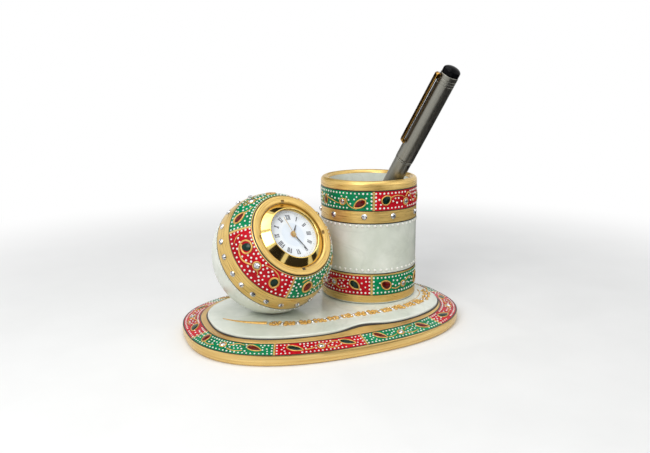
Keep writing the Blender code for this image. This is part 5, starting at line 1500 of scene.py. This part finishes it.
@dataclass
class Base:
    """The oval marble base: gold round edge, painted border, gold ledge and bare plateau."""

    plan: BasePlan = field(default_factory=BasePlan)
    edge_top: float = 5.3
    bulge_height: float = 2.7
    bulge: float = 0.97
    top_bulge: float = 0.25
    border_end: float = 9.65
    border_top: float = 7.4
    ledge_top: float = 7.7
    plateau_top: float = 9.2
    plateau_edge: float = 0.8
    gold_inset: float = 0.03
    gold_back: float = 0.7
    marble_inset: float = 0.5
    under_ledge: float = 0.15
    painted: Pair = (0.75, 9.2)
    divider: float = 0.45
    liners: tuple[Pair, ...] = ((0.28, 0.95), (9.0, 9.6))
    dab_start: float = 0.9
    dab_gap: float = 1.9

    def build(self, bead: Stamp, gem: Stamp) -> None:
        """Build and paint the base.

        Args:
            bead: The bead of paint.
            gem: The cut stone.
        """
        self.gold_edge()
        self.marble()
        self.gold_ledge()
        self.foot_line()
        self.border(bead, gem)
        self.plateau_line(bead, gem)

    def gold_edge(self) -> None:
        """Lay the gold on the round edge, with its back inside the marble."""
        rim, back = self.plan.rim, self.gold_back
        skin = [rim(self.gold_inset + self.inset(h), h) for h in np.linspace(0.0, self.edge_top, 15)]
        skin += [rim(back, self.edge_top - 0.1), rim(back, self.bulge_height), rim(2.2, 0.05)]
        mount(loft(skin, True), "base_gold_edge", BURNISHED_GOLD, "stone", crease=40.0)

    def marble(self) -> None:
        """Build the slab from its foot to the plateau's rounded edge, just inside its paint."""
        rim, plateau, inset = self.plan.rim, self.plan.plateau, self.marble_inset
        under = self.ledge_top - self.under_ledge
        rings = [rim(1.6, 0.1), rim(inset, self.bulge_height), rim(inset, self.edge_top - 0.1),
                 rim(self.border_end, self.border_top - 0.12), rim(self.border_end + 0.5, under),
                 plateau(0.0, under)]
        for turn in np.radians(np.linspace(0.0, 90.0, 9)):
            rings.append(plateau(self.plateau_edge * (1.0 - math.cos(turn)),
                                 self.plateau_top - self.plateau_edge * (1.0 - math.sin(turn))))
        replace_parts(mount(loft(rings, False), "base_marble", MARBLE, "stone", crease=30.0), "base_slab")

    def gold_ledge(self) -> None:
        """Lay the gold ledge between the border and the plateau, with its back inside the marble."""
        rim, plateau = self.plan.rim, self.plan.plateau
        outer, inner = rim(self.border_end + 0.3, self.ledge_top), plateau(-0.02, self.ledge_top)
        ledge = [rim(self.border_end - 0.3, self.border_top - 0.25), rim(self.border_end, self.border_top)]
        ledge += [outer + (inner - outer) * share for share in (0.0, 0.3, 0.65, 1.0)]
        ledge += [plateau(0.2, self.ledge_top - 0.3), rim(self.border_end + 0.3, self.ledge_top - 0.4)]
        mount(loft(ledge, True), "base_gold_ledge", STREAKED_GOLD, "stone", crease=40.0)

    def inset(self, height: float) -> float:
        """Return how far the round edge is drawn in at a height."""
        below = height < self.bulge_height
        reach = self.bulge_height if below else self.edge_top - self.bulge_height
        depth = self.bulge if below else self.top_bulge
        return depth * (1.0 - math.sqrt(max(0.0, 1.0 - ((height - self.bulge_height) / reach) ** 2)))

    def foot_line(self) -> None:
        """Draw the uneven dark line at the plateau's foot, which is heaviest in the waist."""
        ring = self.plan.plateau(-0.25, self.ledge_top + 0.05)
        rng = random.Random(7)
        knots = [rng.uniform(0.35, 0.6) for _ in range(48)]
        places = np.linspace(0.0, len(knots), len(ring), endpoint=False)
        width = np.interp(places, np.arange(len(knots) + 1), [*knots, knots[0]])
        width += 0.45 * np.exp(-((ring[:, 0] - self.plan.waist_x) / self.plan.waist_width) ** 2)
        mount(strokes([(ring * MM, width, True)]), "base_foot_line", LINER, "stone", crease=ROUND)

    def border(self, bead: Stamp, gem: Stamp) -> None:
        """Paint the border's sections; those behind repeat the ones in front."""
        face = BorderFace(self.plan)
        green = Section(202.5, 247.3, GREEN, drops=(
            Drop(208.6, 5.6, 2.7, 1.8, -62.0, 0.4, 0.3),
            Drop(237.6, 5.8, 3.3, 1.7, -22.0, 0.5, 0.3),
        ), stones=(Stone(221.4, 5.6, 1.3),), curls=(
            ((211.0, 3.4), (214.0, 3.0), (217.0, 4.0)),
            ((225.2, 6.2), (228.6, 8.2), (232.4, 7.6)),
            ((225.0, 3.6), (229.0, 2.8), (232.6, 3.6)),
        ))
        red = Section(247.3, 291.0, RED, drops=(
            Drop(256.8, 5.2, 3.4, 1.7, -24.0, 0.45, 0.3),
            Drop(282.6, 5.3, 3.3, 1.7, -27.0, 0.45, 0.3),
        ), stones=(Stone(269.4, 5.1, 1.35),), curls=(
            ((261.4, 3.6), (264.0, 4.0), (266.6, 4.8)),
            ((272.4, 5.6), (275.2, 7.4), (278.4, 7.4)),
            ((272.0, 3.6), (275.4, 2.8), (278.4, 4.0)),
        ))
        green_right = Section(291.0, 336.5, GREEN, drops=(
            Drop(300.2, 5.7, 3.1, 1.7, -42.0, 0.45, 0.3),
            Drop(326.3, 5.1, 3.1, 1.8, -41.0, 0.45, 0.3),
        ), stones=(Stone(311.6, 4.8, 1.3),), curls=(
            ((303.6, 3.2), (306.0, 3.2), (308.8, 4.2)),
            ((314.8, 5.4), (317.6, 7.4), (321.0, 7.6)),
            ((314.6, 3.2), (318.0, 2.6), (321.6, 3.4)),
        ))
        red_end = Section(336.5, 336.5 + 50.4, RED, drops=(
            Drop(346.4, 5.0, 3.5, 1.7, -16.0, 0.45, 0.3),
            Drop(376.6, 5.2, 3.4, 1.7, -24.0, 0.45, 0.3),
        ), stones=(Stone(361.4, 5.1, 1.35),), curls=(
            ((351.4, 4.0), (354.6, 4.0), (358.2, 4.8)),
            ((364.8, 5.6), (368.0, 7.4), (372.0, 7.2)),
            ((364.6, 3.6), (368.0, 2.8), (372.0, 3.8)),
        ))
        whole = face.whole
        span = red_end.end - red_end.start
        sections = [green, red, green_right, red_end]
        for number, enamel in enumerate((GREEN, RED, GREEN, RED), 1):
            sections.append(replace(red_end.moved(span * number), enamel=enamel))
        sections[-1] = replace(sections[-1], end=whole + green.start)
        painter = Painter("border", face, bead, gem, 41, 0.47, 1.85)
        for section in sections:
            painter.decorate(section, self.painted)
            divider = (section.start - self.divider, section.start + self.divider)
            painter.coat("gold_dividers", GOLD, divider, self.painted, 0.1)
        for band in self.liners:
            painter.coat("liner_lines", LINER, (0.0, whole), band, LINER_LIFT, step=1.5)
        painter.finish()

    def plateau_line(self, bead: Stamp, gem: Stamp) -> None:
        """Lay the gold line with its dabs and small stones along the front of the plateau."""
        flat = FlatFace(TurnedFrame(np.array((0.0, 0.0, self.plateau_top)), *np.eye(3)))
        painter = Painter("plateau", flat, bead, gem, 59)
        tail = rounded([(-55.4, 0.4), (-50.0, -6.2), (-43.4, -11.8), (-37.0, -15.6)], 12)
        painter.draw(tail, np.linspace(0.3, 1.2, len(tail)), lift=-0.1)
        path = rounded([(-36.0, -16.3), (-26.7, -20.6), (-11.5, -23.1), (0.0, -22.6), (11.2, -23.0),
                        (22.8, -23.3), (35.4, -22.2), (44.5, -20.0), (53.5, -15.6)], 40)
        gone = travelled(path)
        rng = random.Random(59)
        dabs = []
        for number in range(round(gone[-1] / self.dab_gap)):
            at = self.dab_start + self.dab_gap * number
            x, y = (np.interp(at, gone, path[:, i]) for i in (0, 1))
            behind = [np.interp(at - 0.5, gone, path[:, i]) for i in (0, 1)]
            side = unit((y - behind[1], behind[0] - x))
            if number % 4 == 3:
                painter.set_stone(Stone(x, y, 1.05), False)
                painter.dots += [(x + side[0] * way, y + side[1] * way, 0.7) for way in (-1.75, 1.75)]
                continue
            for way in (-1.35, 0.1, 1.35):
                size = rng.uniform(0.8, 1.3)
                off = way + rng.uniform(-0.3, 0.3)
                spot = (x + side[0] * off + rng.uniform(-0.45, 0.45), y + side[1] * off)
                dabs.append((*spot, size))
                chance = rng.random()
                if chance < 0.2:
                    painter.gems.append((Stone(*spot, 0.52), 0.62 * size))
                elif chance < 0.4:
                    painter.dots.append((x + side[0] * way * 1.5, y + side[1] * way * 1.5, 0.5))
        for x, y in ((54.4, -15.6), (57.4, -12.4), (60.2, -8.4), (61.6, -3.8)):
            painter.set_stone(Stone(x, y, 0.9), False)
            for petal in np.radians(np.arange(10.0, 370.0, 72.0)):
                dabs.append((x + 1.6 * math.cos(petal), y + 1.6 * math.sin(petal), rng.uniform(0.65, 0.9)))
        stem = rounded([(44.0, -16.6), (52.0, -11.6), (57.4, -5.4), (59.4, 0.4)], 10)
        painter.draw(stem, np.linspace(0.2, 0.32, len(stem)), lift=-0.05)
        table = np.array(dabs)
        seats, axes = flat.seats(table[:, :2])
        pads = bead.press(seats, axes, np.repeat(table[:, 2:], 3, axis=1))
        mount(pads, "plateau_gold_dabs", GOLD_LINE, "stone", crease=ROUND)
        painter.finish()


@dataclass
class Clock:
    """The push-in clock: its polished bezel and its printed dial."""

    bezel_radius: float = 17.5
    bezel_base: float = 21.7
    bezel_edge: float = 0.3
    bezel_top: float = 25.3
    opening: float = 13.1
    bore: float = 14.0
    crest: float = 0.4
    rebate: float = 24.85
    dial_height: float = 22.6
    numeral_radius: float = 9.4
    numeral_height: float = 2.6
    track_radius: float = 12.1
    hour_mark: Pair = (0.7, 0.16)
    minute_mark: Pair = (0.42, 0.08)
    ink: float = 0.03

    def build(self) -> None:
        """Build the bezel and print the dial."""
        crest = (self.opening + self.crest, self.bezel_top - self.crest)
        profile = [(self.bezel_radius, self.bezel_base + rise) for rise in (0.0, self.bezel_edge)]
        profile += arc(*crest, self.crest, 41.0, 180.0, 12)
        profile += [(self.opening, self.rebate), (self.bore, self.rebate), (self.bore, self.bezel_base)]
        bezel = lathe(profile, CLOCK.matrix(), 192)
        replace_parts(mount(bezel, "polished_bezel", BRASS, "clock_insert", crease=25.0), "insert_bezel")
        self.print_dial()

    def bar(self, x: float, y: float, length: float, width: float, lean: float) -> np.ndarray:
        """Return the four corners of a printed bar.

        Args:
            x: Its middle across the numeral.
            y: Its middle up the numeral.
            length: How long it is.
            width: How wide it is.
            lean: Its angle from upright, in degrees.

        Returns:
            Four rows of x and y.
        """
        c, s = math.cos(math.radians(lean)), math.sin(math.radians(lean))
        corners = np.array(((-width, -length), (width, -length), (width, length), (-width, length))) / 2.0
        return corners @ np.array(((c, -s), (s, c))) + (x, y)

    def numeral(self, letters: str) -> list[np.ndarray]:
        """Build a Roman numeral from bars, centred on its own middle.

        Args:
            letters: Its letters.

        Returns:
            The bars.
        """
        tall, thick, thin, serif = self.numeral_height, 0.44, 0.22, 0.2
        cross, splay, serif_share = tall * 1.04, 0.18, 0.86
        widths = {"I": 0.68, "V": 1.3, "X": 1.35}
        bars, x = [], -sum(widths[letter] for letter in letters) / 2.0
        for letter in letters:
            wide = widths[letter]
            middle = x + wide / 2.0
            lean = math.degrees(math.atan2(wide * (0.36 if letter == "V" else 0.62), tall))
            if letter == "I":
                bars.append(self.bar(middle, 0.0, tall, thick, 0.0))
            elif letter == "V":
                bars.append(self.bar(middle - wide * splay, 0.0, tall, thick, -lean))
                bars.append(self.bar(middle + wide * splay, 0.0, tall, thin, lean))
            else:
                bars.append(self.bar(middle, 0.0, cross, thick, -lean))
                bars.append(self.bar(middle, 0.0, cross, thin, lean))
            for side in (1.0,) if letter == "V" else (1.0, -1.0):
                bars.append(self.bar(middle, side * (tall - serif) / 2.0, serif, wide * serif_share, 0.0))
            x += wide
        return bars

    def print_dial(self) -> None:
        """Print the twelve numerals and the minute track as thin raised ink."""
        shapes = []
        numerals = ("XII", "I", "II", "III", "IV", "V", "VI", "VII", "VIII", "IX", "X", "XI")
        for hour, letters in enumerate(numerals):
            shapes += [(bar + (0.0, self.numeral_radius), hour * 30.0) for bar in self.numeral(letters)]
        for minute in range(60):
            long, wide = self.minute_mark if minute % 5 else self.hour_mark
            shapes.append((self.bar(0.0, self.track_radius, long, wide, 0.0), minute * 6.0))
        points, faces = [], []
        for bar, clockwise in shapes:
            c, s = math.cos(math.radians(clockwise)), math.sin(math.radians(clockwise))
            for x, y in bar:
                points.append((x * c + y * s, -x * s + y * c))
            faces.append(tuple(range(len(points) - 4, len(points))))
        flat = np.array(points)
        top = self.dial_height + self.ink
        world = (CLOCK.centre + flat[:, :1] * CLOCK.first + flat[:, 1:] * CLOCK.second + top * CLOCK.out) * MM
        item = raw_object(world, [], faces)
        thicken(item, self.ink)
        mount(item, "dial_print", INK, "clock_insert", crease=0.0)


@dataclass
class Pen:
    """The capped pen: satin metal barrel and cap, black top and gold clip."""

    barrel_radius: float = 4.7
    barrel_bore: float = 3.6
    barrel_length: float = 81.8
    end_radius: float = 2.0
    end_wall: float = 2.2
    trim: Place = (4.85, 82.1, 82.7)
    cap_start: float = 83.0
    cap_end: float = 132.6
    mouth: float = 4.9
    cap_top: float = 4.7
    cap_wall: float = 0.35
    rings: tuple[float, ...] = (127.6, 129.0, 130.4)
    finial_radius: float = 4.5
    finial_start: float = 132.9
    finial_length: float = 3.97
    finial_dome: float = 2.2
    clip_width: float = 2.8
    clip_thickness: float = 0.8
    clip_stand_off: float = 1.6
    clip_length: float = 40.4
    clip_root: float = 2.2
    clip_top: float = 132.0
    clip_ball: float = 1.0
    clip_bend: float = 0.8
    clip_rounding: float = 0.22
    seat_gap: float = 0.3
    chamfer: float = 0.15
    trim_chamfer: float = 0.1
    groove: Place = (0.16, 0.08, 0.22)
    plug_length: float = 2.6

    def build(self) -> None:
        """Build the pen's visible pieces."""
        place = PEN.matrix()
        self.barrel(place)
        self.cap(place)
        self.finial(place)
        self.clip(place)

    def barrel(self, place: Matrix) -> None:
        """Turn the barrel, with its rounded end, and the trim ring on its mouth."""
        radius, bore, length, end = self.barrel_radius, self.barrel_bore, self.barrel_length, self.end_radius
        profile = [(0.0, 0.0)] + arc(radius - end, end, end, -90.0, 0.0, 10)
        profile += [(radius, height) for height in (28.0, 55.0, length - self.chamfer)]
        profile += [(radius - self.chamfer, length), (bore, length), (bore, self.end_wall + end),
                    (0.0, self.end_wall)]
        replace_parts(mount(lathe(profile, place, 72), "satin_barrel", PEN_METAL, "pen"), "pen_barrel")
        (radius, low, high), cut = self.trim, self.trim_chamfer
        trim = [(radius - cut, low), (radius, low + cut), (radius, high - cut), (radius - cut, high),
                (bore, high), (bore, low)]
        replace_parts(mount(lathe(trim, place, 72), "trim_ring", PEN_METAL, "pen", crease=20.0), "seam_ring")

    def cap(self, place: Matrix) -> None:
        """Turn the slightly tapered cap with its three grooves."""
        mouth, top, start, end = self.mouth, self.cap_top, self.cap_start, self.cap_end
        depth, floor, half = self.groove
        profile = [(mouth - 0.1, start), (mouth, start + self.chamfer)]
        for ring in self.rings:
            edge = mouth + (top - mouth) * (ring - start) / (end - start)
            profile += [(edge, ring - half), (edge - depth, ring - floor), (edge - depth, ring + floor),
                        (edge, ring + half)]
        profile += [(top, end - self.chamfer), (top - 0.12, end), (top - self.cap_wall, end),
                    (mouth - self.cap_wall, start)]
        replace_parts(mount(lathe(profile, place, 72), "satin_cap", PEN_METAL, "cap", crease=20.0), "pen_cap")

    def finial(self, place: Matrix) -> None:
        """Turn the black top with its plug and its domed end."""
        plug = self.cap_top - self.cap_wall - self.seat_gap
        radius, start, end = self.finial_radius, self.finial_start, self.finial_start + self.finial_length
        dome, foot = end - self.finial_dome, self.cap_end - self.plug_length
        profile = [(0.0, foot), (plug, foot), (plug, start), (radius - 0.2, start), (radius, start + 0.2)]
        for turn in np.radians(np.linspace(0.0, 90.0, 14)):
            profile.append((radius * math.cos(turn), dome + self.finial_dome * math.sin(turn)))
        profile[-1] = (0.0, end)
        finial = lathe(profile, place, 72)
        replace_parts(mount(finial, "black_finial", BLACK_PLASTIC, "cap", crease=30.0), "cap_finial")

    def clip(self, place: Matrix) -> None:
        """Bend the clip in side view, extrude it to its width and round its edges."""
        end = self.clip_top - self.clip_length
        inner = self.mouth + self.clip_stand_off
        outer = inner + self.clip_thickness
        foot = self.mouth + self.seat_gap
        ball = foot + self.clip_ball
        join = math.degrees(math.acos((inner - ball) / self.clip_ball))
        side = [(foot, self.clip_top), (foot, self.clip_top - self.clip_root),
                (inner, self.clip_top - self.clip_root - self.clip_bend)]
        side += arc(ball, end + self.clip_ball, self.clip_ball, join, 360.0, 24)
        side += [(outer, end + 2.0 * self.clip_ball), (outer, self.clip_top - self.clip_bend),
                 (outer - self.clip_bend, self.clip_top)]
        half = self.clip_width / 2.0
        points = np.array([(x * MM, -half * MM, z * MM) for x, z in side])
        item = raw_object(points, [], [tuple(range(len(side)))])
        edit_all()
        bpy.ops.mesh.extrude_region_move(TRANSFORM_OT_translate={"value": (0.0, self.clip_width * MM, 0.0)})
        right_way_out(item)
        apply_modifier(item, "BEVEL", width=self.clip_rounding * MM, segments=3,
                       angle_limit=math.radians(50.0))
        item.data.transform(place)
        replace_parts(mount(item, "gold_clip", SHADED_GILT, "clip", crease=40.0), "pen_clip")


@dataclass(frozen=True)
class Lamp:
    """A square softbox: where it hangs in millimetres, its side in metres and its power in watts."""

    name: str
    place: Place
    size: float
    watts: float

    def hang(self, target: Place) -> None:
        """Hang it so that it faces a target, given in millimetres."""
        data = bpy.data.lights.new(self.name, "AREA")
        data.size, data.energy = self.size, self.watts
        item = bpy.data.objects.new(self.name, data)
        bpy.context.scene.collection.objects.link(item)
        item.location = Vector(self.place) * MM
        item.rotation_euler = (Vector(target) - Vector(self.place)).to_track_quat("-Z", "Y").to_euler()


@dataclass(frozen=True)
class Card:
    """A dark card that only mirrors show: its middle and sides in millimetres, and its tilt from flat."""

    name: str
    place: Place
    sides: Pair
    tilt: float

    def set_up(self) -> None:
        """Set it up, so that metal has dark sides as well as bright ones."""
        clear_selection()
        bpy.ops.mesh.primitive_plane_add(size=1.0)
        item = bpy.context.object
        item.name = self.name
        width, height = self.sides
        turn = Matrix.Rotation(math.radians(self.tilt), 4, "X")
        item.data.transform(Matrix.Translation(Vector(self.place) * MM) @ (
            turn @ Matrix.Diagonal((width * MM, height * MM, 1.0, 1.0))))
        item.data.materials.append(STUDIO_CARD.material())
        item.visible_camera = item.visible_diffuse = item.visible_shadow = False
        item.visible_transmission = item.visible_volume_scatter = False


@dataclass
class Studio:
    """The camera, the lamps, the pale floor, the white world and the dark cards that metal mirrors."""

    camera_at: Place = (-125.20, -301.52, 124.56)
    camera_right: Place = (0.92104, -0.38935, -0.00937)
    camera_up: Place = (0.09266, 0.19568, 0.97628)
    lens: float = 34.99
    sensor: float = 36.0
    target: Place = (0.0, 0.0, 45.0)
    floor_radius: float = 2.5
    ambient: str = "F2F4F8"
    ambient_strength: float = 0.42
    lamps: tuple[Lamp, ...] = (
        Lamp("key_softbox", (-430.0, -330.0, 420.0), 0.34, 1.9),
        Lamp("fill_softbox", (460.0, -420.0, 260.0), 0.5, 0.7),
        Lamp("top_softbox", (-40.0, -60.0, 620.0), 0.5, 1.7))
    cards: tuple[Card, ...] = (
        Card("back_card", (10.0, 150.0, 221.0), (260.0, 218.0), 90.0),
        Card("camera_card", (-150.0, -400.0, 95.0), (420.0, 190.0), 90.0),
        Card("front_card", (240.0, -262.0, 1.0), (520.0, 400.0), 0.0),
        Card("right_card", (300.0, 120.0, 1.0), (420.0, 360.0), 0.0))

    def build(self) -> None:
        """Set up everything round the object."""
        self.camera()
        for lamp in self.lamps:
            lamp.hang(self.target)
        self.world()
        self.floor()
        for card in self.cards:
            card.set_up()

    def camera(self) -> None:
        """Put the camera where the photographer's was."""
        scene = bpy.context.scene
        scene.view_settings.view_transform = "Standard"
        right, up = unit(self.camera_right), unit(self.camera_up)
        camera = bpy.data.objects.new("camera", bpy.data.cameras.new("camera"))
        scene.collection.objects.link(camera)
        camera.data.lens, camera.data.sensor_width = self.lens, self.sensor
        camera.data.clip_start, camera.data.clip_end = 0.01, 10.0
        axes = Matrix([list(axis) for axis in (right, up, np.cross(right, up))]).transposed().to_4x4()
        camera.matrix_world = Matrix.Translation(Vector(self.camera_at) * MM) @ axes
        scene.camera = camera

    def world(self) -> None:
        """Light softly from all round, and show white to the camera, in mirrors and through glass."""
        world = bpy.data.worlds.new("studio")
        bpy.context.scene.world = world
        world.use_nodes = True
        tree = world.node_tree
        tree.nodes.clear()
        path = add_node(tree, "ShaderNodeLightPath").outputs
        seen = calculate(tree, "MAXIMUM", path["Is Camera Ray"], path["Is Glossy Ray"])
        shown = calculate(tree, "MAXIMUM", seen, path["Is Transmission Ray"])
        first = calculate(tree, "LESS_THAN", path["Diffuse Depth"], 0.5)
        soft = add_node(tree, "ShaderNodeBackground", {"Color": linear(self.ambient),
                                                       "Strength": self.ambient_strength})
        white = add_node(tree, "ShaderNodeBackground", {"Color": WHITE, "Strength": 1.0})
        mixed = add_node(tree, "ShaderNodeMixShader", {0: calculate(tree, "MULTIPLY", shown, first),
                                                       1: soft.outputs[0], 2: white.outputs[0]})
        add_node(tree, "ShaderNodeOutputWorld", {"Surface": mixed.outputs[0]})

    def floor(self) -> None:
        """Lay a pale matte floor that keeps the object's shadow."""
        clear_selection()
        bpy.ops.mesh.primitive_circle_add(vertices=96, radius=self.floor_radius, fill_type="NGON")
        item = bpy.context.object
        item.name = "floor"
        paper = PaperFinish("studio_paper", "marble", "F3F3F1", "F0F0EE", (40.0, 40.0, 40.0), (0.8, 0.9))
        item.data.materials.append(paper.material())


def dress_nodes() -> None:
    """Give every CAD node that stays the finish of its slot."""
    slots = {part["node"]: part["material_slot"] for part in frame["record"]["subparts"]}
    for name, node in frame["nodes"].items():
        for slot in node.material_slots:
            slot.material = BY_SLOT[slots[name]].material()
        LOG.info("%s: %s", name, BY_SLOT[slots[name]].name)


def main() -> None:
    """Dress the CAD nodes, build the set piece by piece, and set up the studio."""
    logging.basicConfig(level=logging.INFO, format="%(message)s")
    dress_nodes()
    bead, gem = Stamp.bead(), Stamp.gem()
    Base().build(bead, gem)
    Ball().build(bead, gem)
    Cup().build(bead, gem)
    Clock().build()
    Pen().build()
    Studio().build()


if __name__ == "__main__":
    main()
